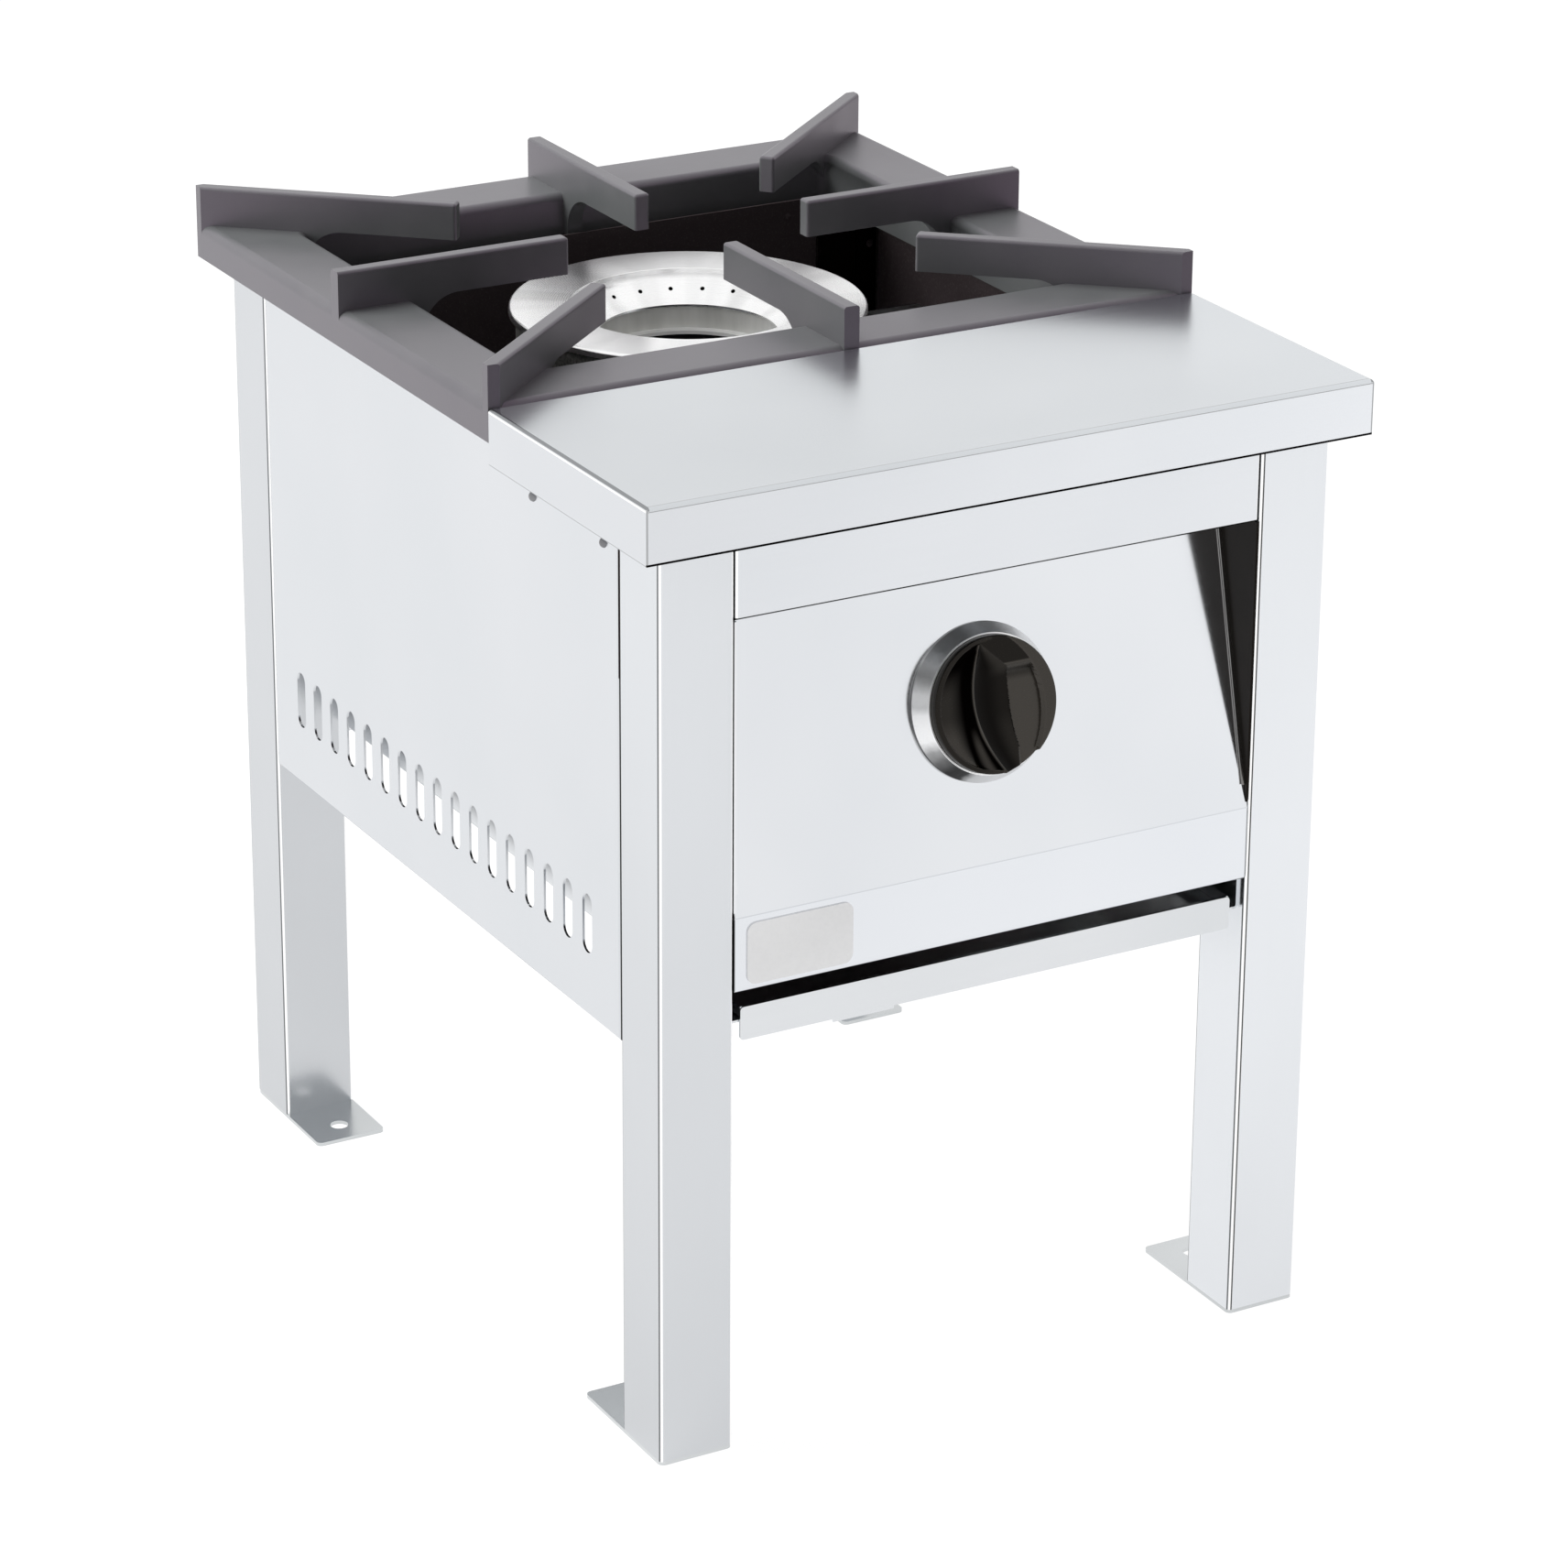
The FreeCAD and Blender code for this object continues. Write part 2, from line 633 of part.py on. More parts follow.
def d_section(radius, flat, low, high):
    shaft = Part.makeCylinder(radius, high - low, Vector(0, 0, low))
    return shaft.cut(block((-BIG, -BIG, low - 1), (BIG, -flat, high + 1)))


def curve_through(points, height):
    curve = Part.BSplineCurve()
    curve.interpolate([Vector(x, y, height) for x, y in points])
    return curve.toShape()


def fin_outline(height):
    """Grip fin seen from the front: a pointed tip, bowed flanks, open foot."""
    left = curve_through([FIN_TIP, *FIN_LEFT], height)
    right = curve_through([FIN_TIP, *FIN_RIGHT], height)
    foot = Part.LineSegment(Vector(*FIN_LEFT[-1], height), Vector(*FIN_RIGHT[-1], height))
    return Part.Wire(Part.sortEdges([left, foot.toShape(), right])[0])


def knob_scoop(floor):
    """Both recesses in one: two circles' common area, and the notch at the foot."""
    scoop = Part.makeCylinder(SCOOP_RADIUS, BIG, Vector(0, 0, floor))
    right = Part.makeCylinder(SCOOP_RIGHT_RADIUS, BIG, Vector(*SCOOP_RIGHT_CENTRE, floor))
    notch = block((NOTCH_ENDS[0], -BIG, floor), (NOTCH_ENDS[1], NOTCH_TOP, BIG))
    return scoop.common(right).fuse(notch)


def knob():
    """Round face with two sunk recesses beside a curved grip fin."""
    radius = BEZEL_RIM_RADIUS - BEZEL_WALL - KNOB_CLEARANCE
    low = BEZEL_WALL + KNOB_PUSH + FACE_GAP
    disc = Part.makeCylinder(radius, KNOB_FACE - low, Vector(0, 0, low))
    rim = [e for e in disc.Edges if abs(e.BoundBox.ZMin - KNOB_FACE) < 1e-6 and e.Closed]
    disc = disc.makeFillet(KNOB_EDGE, rim)
    fin_top = KNOB_FACE + FIN_PROUD
    fin = Part.Face(fin_outline(low)).extrude(Vector(0, 0, fin_top - low))
    crest = [e for e in fin.Edges if abs(e.BoundBox.ZMin - fin_top) < 1e-4]
    flanks = [e for e in crest if e.Curve.TypeId == "Part::GeomBSplineCurve"]
    fin = fin.makeFillet(FIN_PROUD, flanks)
    fin = fin.common(Part.makeCylinder(radius, BIG, Vector(0, 0, low)))
    body = disc.cut(knob_scoop(KNOB_FACE - SCOOP_DEPTH)).fuse(fin)
    hub = Part.makeCylinder(KNOB_HUB_RADIUS, low - KNOB_HUB_LOW, Vector(0, 0, KNOB_HUB_LOW))
    body = body.fuse(hub).removeSplitter()
    socket = d_section(SPINDLE_RADIUS + FIT, SPINDLE_FLAT + FIT, -BIG, KNOB_FACE - SOCKET_CAP)
    return on_knob_axis(body.cut(socket))


def valve_spindle():
    low = VALVE_SHOULDER - KNOB_PUSH
    return on_knob_axis(d_section(SPINDLE_RADIUS, SPINDLE_FLAT, low, KNOB_FACE - SPINDLE_END))


# ---- gas valve behind the panel ----
def valve_rotor():
    low = NECK_END - ROTOR_LENGTH
    rotor = Part.makeCylinder(ROTOR_RADIUS - FIT, ROTOR_LENGTH, Vector(0, 0, low))
    hole = d_section(SPINDLE_RADIUS + FIT, SPINDLE_FLAT + FIT, low - 1, NECK_END + 1)
    return on_knob_axis(rotor.cut(hole))


def gas_valve():
    back = VALVE_SHOULDER - VALVE_LENGTH
    end = back - MAGNET_LENGTH
    neck = VALVE_SHOULDER
    cut = VALVE_CHAMFER
    profile = [
        (0, end), (MAGNET_RADIUS, end), (MAGNET_RADIUS, back), (VALVE_RADIUS - cut, back),
        (VALVE_RADIUS, back + cut), (VALVE_RADIUS, neck - cut), (VALVE_RADIUS - cut, neck),
        (NECK_RADIUS, neck), (NECK_RADIUS, NECK_END - cut), (NECK_RADIUS - cut, NECK_END),
        (0, NECK_END),
    ]
    body = on_knob_axis(turned(profile, 0))
    port = knob_point(VALVE_PORT)
    for up in (-1, 1):
        body = body.fuse(cylinder(BOSS_RADIUS, port, (0, 0, up), BOSS_LENGTH))
    depth = ROTOR_LENGTH + KNOB_PUSH
    bore = Part.makeCylinder(ROTOR_RADIUS, depth + 1, Vector(0, 0, NECK_END - depth))
    return body.cut(on_knob_axis(bore)).removeSplitter()


def valve_bracket():
    """Hat-shaped strap behind the tilted face, with a hole for the valve's neck."""
    top = -SHEET
    low = VALVE_SHOULDER + BRACKET_THICK
    half = BRACKET_HALF_SPAN
    x = -BRACKET_WIDTH / 2
    outline = [
        (x, -half - BRACKET_FLANGE, top), (x, -half, top), (x, -half, low),
        (x, half, low), (x, half, top), (x, half + BRACKET_FLANGE, top),
    ]
    strap = folded_strip(outline, BRACKET_THICK, BRACKET_BEND, (BRACKET_WIDTH, 0, 0))
    hole = Part.makeCylinder(NECK_RADIUS + BRACKET_CLEARANCE, BIG, Vector(0, 0, -BIG / 2))
    return on_knob_axis(strap.cut(hole))


def valve_nut():
    low = VALVE_SHOULDER + BRACKET_THICK
    nut = hexagon(NUT_FLATS, NUT_THICK, (0, 0, low), (0, 0, 1))
    nut = nut.cut(Part.makeCylinder(NECK_RADIUS, BIG, Vector(0, 0, -BIG / 2)))
    return on_knob_axis(nut)


# ---- gas line ----
def gas_inlet_fitting():
    """Hexagon inside, shank through the panel, threaded end to the back."""
    inside = REAR_LEG_REAR - SHEET
    nut_face = REAR_LEG_REAR + LOCKNUT_THICK
    back = (0, 1, 0)
    end = cylinder(INLET_RADIUS, (INLET_X, nut_face, INLET_HEIGHT), back, BACK - nut_face)
    end = end.makeChamfer(INLET_CHAMFER, edges_of_face(end, 1, 1).Edges)
    shank = cylinder(
        INLET_SHANK_RADIUS, (INLET_X, inside, INLET_HEIGHT), back, nut_face - inside
    )
    nut = hexagon(
        INLET_HEX, INLET_HEX_LENGTH, (INLET_X, inside - INLET_HEX_LENGTH, INLET_HEIGHT), back
    )
    bore = cylinder(INLET_BORE, (INLET_X, 0, INLET_HEIGHT), back, BIG)
    return end.fuse([shank, nut]).cut(bore)


def inlet_locknut():
    place = (INLET_X, REAR_LEG_REAR, INLET_HEIGHT)
    nut = hexagon(INLET_HEX, LOCKNUT_THICK, place, (0, 1, 0))
    return nut.cut(cylinder(INLET_SHANK_RADIUS, place, (0, 1, 0), BIG))


def gas_rail():
    port = knob_point(VALVE_PORT)
    start = REAR_LEG_REAR - SHEET - INLET_HEX_LENGTH
    return pipe(
        [
            (INLET_X, start, INLET_HEIGHT), (INLET_X, port.y, INLET_HEIGHT),
            (port.x, port.y, INLET_HEIGHT), (port.x, port.y, port.z - BOSS_LENGTH),
        ],
        RAIL_BEND, RAIL_RADIUS, RAIL_WALL,
    )


def burner_feed_pipe():
    port = knob_point(VALVE_PORT)
    start = port.z + BOSS_LENGTH
    end = TUBE_HEIGHT - HOLDER_DROP
    return pipe(
        [
            (port.x, port.y, start), (port.x, port.y, start + FEED_BEND),
            (0, HOLDER_Y, end - FEED_BEND), (0, HOLDER_Y, end),
        ],
        FEED_BEND, FEED_RADIUS, FEED_WALL,
    )


def injector_holder():
    start = (0, SHUTTER_Y - HOLDER_LENGTH, TUBE_HEIGHT)
    body = cylinder(HOLDER_RADIUS, start, (0, 1, 0), HOLDER_LENGTH)
    body = body.makeChamfer(HOLDER_CHAMFER, edges_of_face(body, 1, -1).Edges)
    drop = cylinder(HOLDER_DROP_RADIUS, (0, HOLDER_Y, TUBE_HEIGHT), (0, 0, -1), HOLDER_DROP)
    return body.fuse(drop).removeSplitter()


def gas_injector():
    body_length = INJECTOR_LENGTH - INJECTOR_TIP_LENGTH
    nozzle = hexagon(INJECTOR_FLATS, body_length, (0, SHUTTER_Y, TUBE_HEIGHT), (0, 1, 0))
    tip = Part.makeCone(
        *INJECTOR_TIP_RADII, INJECTOR_TIP_LENGTH,
        Vector(0, SHUTTER_Y + body_length, TUBE_HEIGHT), Vector(0, 1, 0),
    )
    return nozzle.fuse(tip)


def air_shutter():
    """Cup over the tube's mouth, with round air windows in its end."""
    along = (0, 1, 0)
    start = SHUTTER_Y + SHUTTER_WALL
    cup = cylinder(
        TUBE_MOUTH_RADIUS + SHUTTER_WALL, (0, SHUTTER_Y, TUBE_HEIGHT), along, SHUTTER_LENGTH
    )
    cup = cup.cut(cylinder(TUBE_MOUTH_RADIUS, (0, start, TUBE_HEIGHT), along, SHUTTER_LENGTH))
    reach = 3 * SHUTTER_WALL
    ahead = SHUTTER_Y - SHUTTER_WALL
    cup = cup.cut(cylinder(INJECTOR_HOLE_RADIUS, (0, ahead, TUBE_HEIGHT), along, reach))
    ring = (INJECTOR_HOLE_RADIUS + TUBE_MOUTH_RADIUS) / 2
    for i in range(SHUTTER_WINDOWS):
        angle = math.radians(90 + 360 * i / SHUTTER_WINDOWS)
        spot = (ring * math.cos(angle), ahead, TUBE_HEIGHT + ring * math.sin(angle))
        cup = cup.cut(cylinder(WINDOW_RADIUS, spot, along, reach))
    return cup


def mixing_tube():
    """Venturi: bell mouth, neck, then a slow flare into the burner body."""
    def solid(less):
        mouth = TUBE_MOUTH_RADIUS - less
        neck = TUBE_NECK_RADIUS - less
        end = TUBE_END_RADIUS - less
        end_y = BURNER_FACE + BODY_WALL
        # the bell's arc runs out parallel to the tube at the neck
        drop = mouth - neck
        bell_radius = (drop ** 2 + TUBE_BELL_LENGTH ** 2) / (2 * drop)
        half = math.asin(TUBE_BELL_LENGTH / bell_radius) / 2
        bell_mid = Vector(
            neck + bell_radius * (1 - math.cos(half)), TUBE_NECK_Y - bell_radius * math.sin(half), 0
        )
        outline = [
            Vector(0, end_y, 0), Vector(0, TUBE_MOUTH_Y, 0),
            Vector(mouth, TUBE_MOUTH_Y, 0), Vector(mouth, TUBE_BELL_Y, 0),
        ]
        waist = [Vector(neck, TUBE_NECK_Y, 0), Vector(end, end_y, 0), Vector(0, end_y, 0)]
        edges = Part.makePolygon(outline).Edges + Part.makePolygon(waist).Edges
        edges.append(Part.Arc(outline[-1], bell_mid, waist[0]).toShape())
        face = Part.Face(Part.Wire(Part.sortEdges(edges)[0]))
        return face.revolve(Vector(0, 0, 0), Vector(0, 1, 0), 360)

    tube = solid(0).cut(solid(TUBE_WALL))
    tube.translate(Vector(0, 0, TUBE_HEIGHT))
    return tube


# ---- burner ----
def burner_ring():
    """Pressed ring: turned-down lip, flat annulus and a rounded bowl with flame holes."""
    y = BURNER_Y
    width = BOWL_RADIUS - BOWL_HOLE_RADIUS
    bowl = [
        Vector(BOWL_HOLE_RADIUS + out * width, y, RING_TOP - down * BOWL_DEPTH)
        for out, down in zip(BOWL_WIDENING, BOWL_SINKING)
    ]
    path = rounded_path(
        [
            (RING_RADIUS, y, RING_TOP - RING_LIP), (RING_RADIUS, y, RING_TOP),
            (BOWL_RADIUS, y, RING_TOP), *bowl, (BOWL_HOLE_RADIUS, y, RING_TOP - BOWL_DEPTH),
        ],
        [RING_EDGE_BEND, RING_SHEET / 4, BOWL_BEND, BOWL_BEND],
    )
    face = path.makeOffset2D(RING_SHEET, 0, True, True)
    ring = face.revolve(Vector(0, y, 0), Vector(0, 0, 1), 360)
    slope = (bowl[1] - bowl[0]).normalize()
    middle = (bowl[0] + bowl[1]) / 2
    drill = Vector(-slope.z, 0, slope.x)
    depth = 2 * RING_SHEET
    hole = Part.makeCylinder(FLAME_HOLE_RADIUS, 2 * depth, middle - drill * depth, drill)
    holes = []
    for i in range(FLAME_HOLES):
        turn = FIRST_HOLE_ANGLE + 360 * i / FLAME_HOLES
        holes.append(hole.rotated(Vector(0, y, 0), Vector(0, 0, 1), turn))
    return ring.cut(Part.Compound(holes))


def burner_body():
    """Cast gas chamber: a round trough with an open throat in the middle."""
    wall = BODY_WALL
    top = RING_TOP - RING_SHEET
    inner_top = RING_TOP - BOWL_DEPTH - RING_SHEET
    lip = RING_TOP - THROAT_LIP_DROP
    outer = BODY_RADIUS
    edge = BODY_EDGE
    profile = [
        (THROAT_RADIUS, BODY_BOTTOM), (outer - edge, BODY_BOTTOM), (outer, BODY_BOTTOM + edge),
        (outer, top), (outer - wall, top), (outer - wall, BODY_BOTTOM + wall + edge),
        (outer - wall - edge, BODY_BOTTOM + wall), (THROAT_RADIUS + wall, BODY_BOTTOM + wall),
        (THROAT_RADIUS + wall, inner_top), (THROAT_RADIUS, inner_top), (THROAT_RADIUS, lip),
        (THROAT_LIP_RADIUS, lip), (THROAT_LIP_RADIUS, lip - THROAT_LIP_THICK),
        (THROAT_RADIUS, lip - THROAT_LIP_THICK),
    ]
    body = turned(profile, BURNER_Y)
    ahead = BURNER_FACE - 2 * wall
    port = cylinder(TUBE_END_RADIUS, (0, ahead, TUBE_HEIGHT), (0, 1, 0), 5 * wall)
    return body.cut(port)


def burner_bar(side):
    """Strap across the cabinet under the burner body, with turned-down ends."""
    y = BURNER_Y + side * BAR_SPREAD - BAR_WIDTH / 2
    end = LINER_X - LINER_SHEET
    points = [
        (-end, y, BODY_BOTTOM - BAR_FLANGE), (-end, y, BODY_BOTTOM),
        (end, y, BODY_BOTTOM), (end, y, BODY_BOTTOM - BAR_FLANGE),
    ]
    return folded_strip(points, -BAR_THICK, BAR_BEND, (0, BAR_WIDTH, 0))


def thermocouple():
    """Probe in the throat and its lead back to the valve."""
    y = BURNER_Y - PROBE_OFFSET
    low = RING_TOP - PROBE_DROP - PROBE_LENGTH
    probe = cylinder(PROBE_RADIUS, (0, y, low), (0, 0, 1), PROBE_LENGTH - PROBE_TIP_LENGTH)
    probe = probe.fuse(cylinder(PROBE_TIP_RADIUS, (0, y, low), (0, 0, 1), PROBE_LENGTH))
    end = knob_point(VALVE_SHOULDER - VALVE_LENGTH - MAGNET_LENGTH)
    turn_z = end.z + (end.y - LEAD_TURN_Y) * TAN_TILT
    lead = pipe(
        [
            (0, y, low), (0, y, LEAD_HEIGHT), (0, LEAD_TURN_Y, LEAD_HEIGHT),
            (0, LEAD_TURN_Y, turn_z), (end.x, end.y, end.z),
        ],
        LEAD_BEND, LEAD_RADIUS, 0,
    )
    return probe.fuse(lead)


def probe_clip():
    """Strap under the front bar that holds the probe."""
    y = BURNER_Y - PROBE_OFFSET
    bar_under = BODY_BOTTOM - BAR_THICK
    bar_y = BURNER_Y - BAR_SPREAD
    half = CLIP_WIDTH / 2
    plate = block((-half, bar_y - half, bar_under - CLIP_THICK), (half, y + half, bar_under))
    return plate.cut(cylinder(PROBE_RADIUS, (0, y, 0), (0, 0, 1), BIG))


# ---- lining ----
def side_liner():
    """Right-hand lining sheet, flat against the side panel."""
    return block(
        (LINER_X - LINER_SHEET, SHELF_REAR + LINER_SHEET, LINER_BOTTOM),
        (LINER_X, PANEL_FLANGE_FACE - BEND, LINER_TOP),
    )


def back_liner():
    return block(
        (-LEG_IN, REAR_LEG_FACE - LINER_SHEET, LINER_BOTTOM), (LEG_IN, REAR_LEG_FACE, LINER_TOP)
    )


def front_liner():
    """Wall ahead of the burner; its top ledge carries the front of the pan support."""
    half = LINER_X - LINER_SHEET - FACE_GAP
    y = GRATE_FRONT + GRATE_WALL + FACE_GAP
    points = [
        (-half, y, LINER_BOTTOM), (-half, y, CABINET_TOP), (-half, y + LINER_LEDGE, CABINET_TOP)
    ]
    wall = folded_strip(points, LINER_SHEET, 2 * LINER_SHEET, (2 * half, 0, 0))
    tube_hole = cylinder(TUBE_END_RADIUS, (0, SHELF_REAR, TUBE_HEIGHT), (0, 1, 0), GRATE_BAR)
    lead_hole = cylinder(LEAD_HOLE_RADIUS, (0, SHELF_REAR, LEAD_HEIGHT), (0, 1, 0), GRATE_BAR)
    wall = wall.cut(tube_hole).cut(lead_hole)
    for side in (-1, 1):
        # corners cut away for the side panels' flanges
        a, b = sorted((side * (LEG_OUT - PANEL_FLANGE - FACE_GAP), side * BIG))
        wall = wall.cut(block((a, y - 1, CABINET_TOP - PANEL_FLANGE), (b, BACK, BIG)))
    return wall


def dome_head(spot, way, radius, height):
    """Low domed head of a rivet or screw, lying on a face."""
    ball = (radius ** 2 + height ** 2) / (2 * height)
    spot, way = Vector(*spot), Vector(*way)
    sphere = Part.makeSphere(ball, spot - way * (ball - height))
    return sphere.common(Part.makeCylinder(radius + 1, height + 1, spot, way))


def lining_rivets():
    heads = []
    for side in (-1, 1):
        heads.append(dome_head(
            (side * (LEG_IN - RIVET_IN), REAR_LEG_FACE - LINER_SHEET, LINER_TOP - RIVET_DOWN),
            (0, -1, 0), RIVET_RADIUS, RIVET_HEAD,
        ))
        heads.append(dome_head(
            (side * (LEG_OUT - LEG_RIVET_IN), PANEL_FLANGE_FACE, LINER_TOP - LEG_RIVET_DOWN),
            (0, -1, 0), RIVET_RADIUS, RIVET_HEAD,
        ))
    return Part.Compound(heads)


def shelf_screws():
    heads = []
    for side in (-1, 1):
        for ahead in SCREW_PLACES:
            height = SHELF_TOP - SHELF_APRON - SCREW_DOWN
            spot = (side * LEG_OUT, SHELF_REAR - ahead, height)
            heads.append(dome_head(spot, (side, 0, 0), SCREW_RADIUS, SCREW_HEAD))
    return Part.Compound(heads)


# ---- pan support ----
def grate_envelope():
    """Outside of the frame's four bars, without the hollow under them."""
    outer = block((-WIDTH / 2, GRATE_FRONT, GRATE_INNER_LOW), (WIDTH / 2, BACK, GRATE_TOP))
    outer = outer.makeFillet(GRATE_BEND, edges_of_face(outer, 2, 1).Edges)
    opening = rounded_block(
        (-OPENING_X, OPENING_FRONT, 0), (OPENING_X, OPENING_BACK, BIG), GRATE_OPENING_CORNER
    )
    return outer.cut(opening)


def inner_rim_edges(frame):
    found = []
    for edge in frame.Edges:
        box = edge.BoundBox
        flat = abs(box.ZMin - GRATE_TOP) < 1e-6 and abs(box.ZMax - GRATE_TOP) < 1e-6
        if flat and abs(box.XMax) < OPENING_X + 1e-3 and abs(box.XMin) < OPENING_X + 1e-3:
            if box.YMin > OPENING_FRONT - 1e-3 and box.YMax < OPENING_BACK + 1e-3:
                found.append(edge)
    return found


def pan_support_frame():
    """Channel-shaped bars: outer skirt, flat top, deeper inner skirt."""
    frame = grate_envelope()
    frame = frame.makeFillet(GRATE_INNER_BEND, inner_rim_edges(frame))
    wall = GRATE_WALL
    rim = rounded_block(
        (-OPENING_X - wall, OPENING_FRONT - wall, 0),
        (OPENING_X + wall, OPENING_BACK + wall, BIG),
        GRATE_OPENING_CORNER + wall,
    )
    hollow = block(
        (-WIDTH / 2 + wall, GRATE_FRONT + wall, 0), (WIDTH / 2 - wall, BACK - wall, GRATE_UNDER)
    ).cut(rim)
    below = block((-WIDTH, FRONT, 0), (WIDTH, BIG, GRATE_TOP - GRATE_SKIRT)).cut(rim)
    frame = frame.cut(hollow).cut(below)
    for side in (-1, 1):
        # the front skirt is notched where the side panels pass it
        a, b = sorted((
            side * (LEG_OUT - PANEL_FLANGE - STEP_GAP), side * (LEG_OUT + STEP_GAP)
        ))
        frame = frame.cut(block((a, FRONT, 0), (b, GRATE_FRONT + wall, GRATE_UNDER)))
    return frame


def finger(angle, outer, inner_end):
    """Flat finger pointing to the middle, on the bar and down its inner skirt."""
    way = Vector(math.cos(angle), math.sin(angle), 0)
    bar = outer - GRATE_BAR / max(abs(way.x), abs(way.y))
    top = GRATE_TOP + FINGER_HEIGHT
    under = GRATE_TOP + FINGER_LIFT
    low = GRATE_TOP - FINGER_STEM_DEPTH
    stem = bar - FINGER_STEM
    root = GRATE_TOP - GRATE_BEND

    def at(r, z):
        return Vector(way.x * r, GRATE_MIDDLE + way.y * r, z)

    beyond = outer + FINGER_WIDTH
    centre_r, centre_z = stem - FINGER_ARC, under - FINGER_ARC
    diagonal = FINGER_ARC * math.sqrt(0.5)
    edges = [
        Part.LineSegment(at(beyond, top), at(inner_end, top)).toShape(),
        Part.LineSegment(at(inner_end, top), at(inner_end, under)).toShape(),
        Part.LineSegment(at(inner_end, under), at(centre_r, under)).toShape(),
        Part.Arc(
            at(centre_r, under), at(centre_r + diagonal, centre_z + diagonal), at(stem, centre_z)
        ).toShape(),
        Part.LineSegment(at(stem, centre_z), at(stem, low)).toShape(),
        Part.LineSegment(at(stem, low), at(bar + GRATE_BEND, low)).toShape(),
        Part.LineSegment(at(bar + GRATE_BEND, low), at(bar + GRATE_BEND, root)).toShape(),
        Part.LineSegment(at(bar + GRATE_BEND, root), at(beyond, root)).toShape(),
        Part.LineSegment(at(beyond, root), at(beyond, top)).toShape(),
    ]
    side = Vector(-way.y, way.x, 0)
    face = Part.Face(Part.Wire(edges))
    face.translate(side * (-FINGER_WIDTH / 2))
    solid = face.extrude(side * FINGER_WIDTH)
    tip = at(inner_end, top)
    rounded = []
    for edge in solid.Edges:
        box = edge.BoundBox
        level = abs(box.ZMin - top) < 1e-6 and abs(box.ZMax - top) < 1e-6
        middle = (edge.Vertexes[0].Point + edge.Vertexes[-1].Point) / 2
        beside = middle - tip
        upright = box.ZLength > 1 and abs(beside.dot(way)) < 1e-3
        if level or upright:
            rounded.append(edge)
    solid = solid.makeFillet(FINGER_EDGE, rounded)
    footprint = block((-WIDTH / 2, GRATE_FRONT, 0), (WIDTH / 2, BACK, BIG))
    frame = grate_envelope()
    frame = frame.makeFillet(GRATE_INNER_BEND, inner_rim_edges(frame))
    return solid.common(footprint).cut(frame)


def pan_support_fingers():
    half_x = WIDTH / 2
    half_y = (BACK - GRATE_FRONT) / 2
    corner = math.atan2(half_y, half_x)
    reach = math.hypot(half_x, half_y)
    return {
        "right_finger": finger(0, half_x, SIDE_FINGER_END),
        "rear_right_finger": finger(corner, reach, CORNER_FINGER_END),
        "rear_finger": finger(math.pi / 2, half_y, FRONT_FINGER_END),
        "rear_left_finger": finger(math.pi - corner, reach, CORNER_FINGER_END),
        "left_finger": finger(math.pi, half_x, SIDE_FINGER_END),
        "front_left_finger": finger(math.pi + corner, reach, CORNER_FINGER_END),
        "front_finger": finger(-math.pi / 2, half_y, FRONT_FINGER_END),
        "front_right_finger": finger(-corner, reach, CORNER_FINGER_END),
    }


# ---- drip tray ----
def drip_tray():
    """Shallow tray behind a deeper front lip that serves as its pull."""
    front = LIP_FACE + SHEET
    tray = folded_pan(
        (-TRAY_HALF_WIDTH, front, TRAY_BOTTOM), (TRAY_HALF_WIDTH, TRAY_REAR, LIP_TOP),
        2, 1, TRAY_SHEET, TRAY_BEND,
    )
    lip = block(
        (-LIP_HALF_WIDTH, LIP_FACE, LIP_TOP - LIP_HEIGHT), (LIP_HALF_WIDTH, front, LIP_TOP)
    )
    corners = [e for e in lip.Edges if abs(e.BoundBox.YLength - SHEET) < 1e-6]
    lip = lip.makeFillet(LIP_CORNER, corners)
    low = LIP_TOP - LIP_HEIGHT
    left = -LIP_HALF_WIDTH + TONGUE_IN
    tongue = block(
        (left, front, low - TONGUE_DROP), (left + TONGUE_WIDTH, front + SHEET, low + TONGUE_LAP)
    )
    return tray.fuse([lip, tongue]).removeSplitter()


def tray_runner():
    """Right-hand angle between the legs, with an upturned stop at its rear."""
    low = RUNNER_TOP - SHEET
    near = LIP_FACE + SHEET + FACE_GAP
    length = REAR_LEG_REAR - PANEL_FLANGE - FACE_GAP - near
    points = [
        (LEG_IN - RUNNER_WIDTH, near, low), (LEG_IN, near, low), (LEG_IN, near, low + RUNNER_HEIGHT)
    ]
    angle = folded_strip(points, SHEET, BEND, (0, length, 0))
    stop = block(
        (LEG_IN - RUNNER_WIDTH, TRAY_REAR + FACE_GAP, RUNNER_TOP),
        (LEG_IN - RUNNER_WIDTH / 2, TRAY_REAR + FACE_GAP + SHEET, RUNNER_TOP + STOP_HEIGHT),
    )
    return angle.fuse(stop)


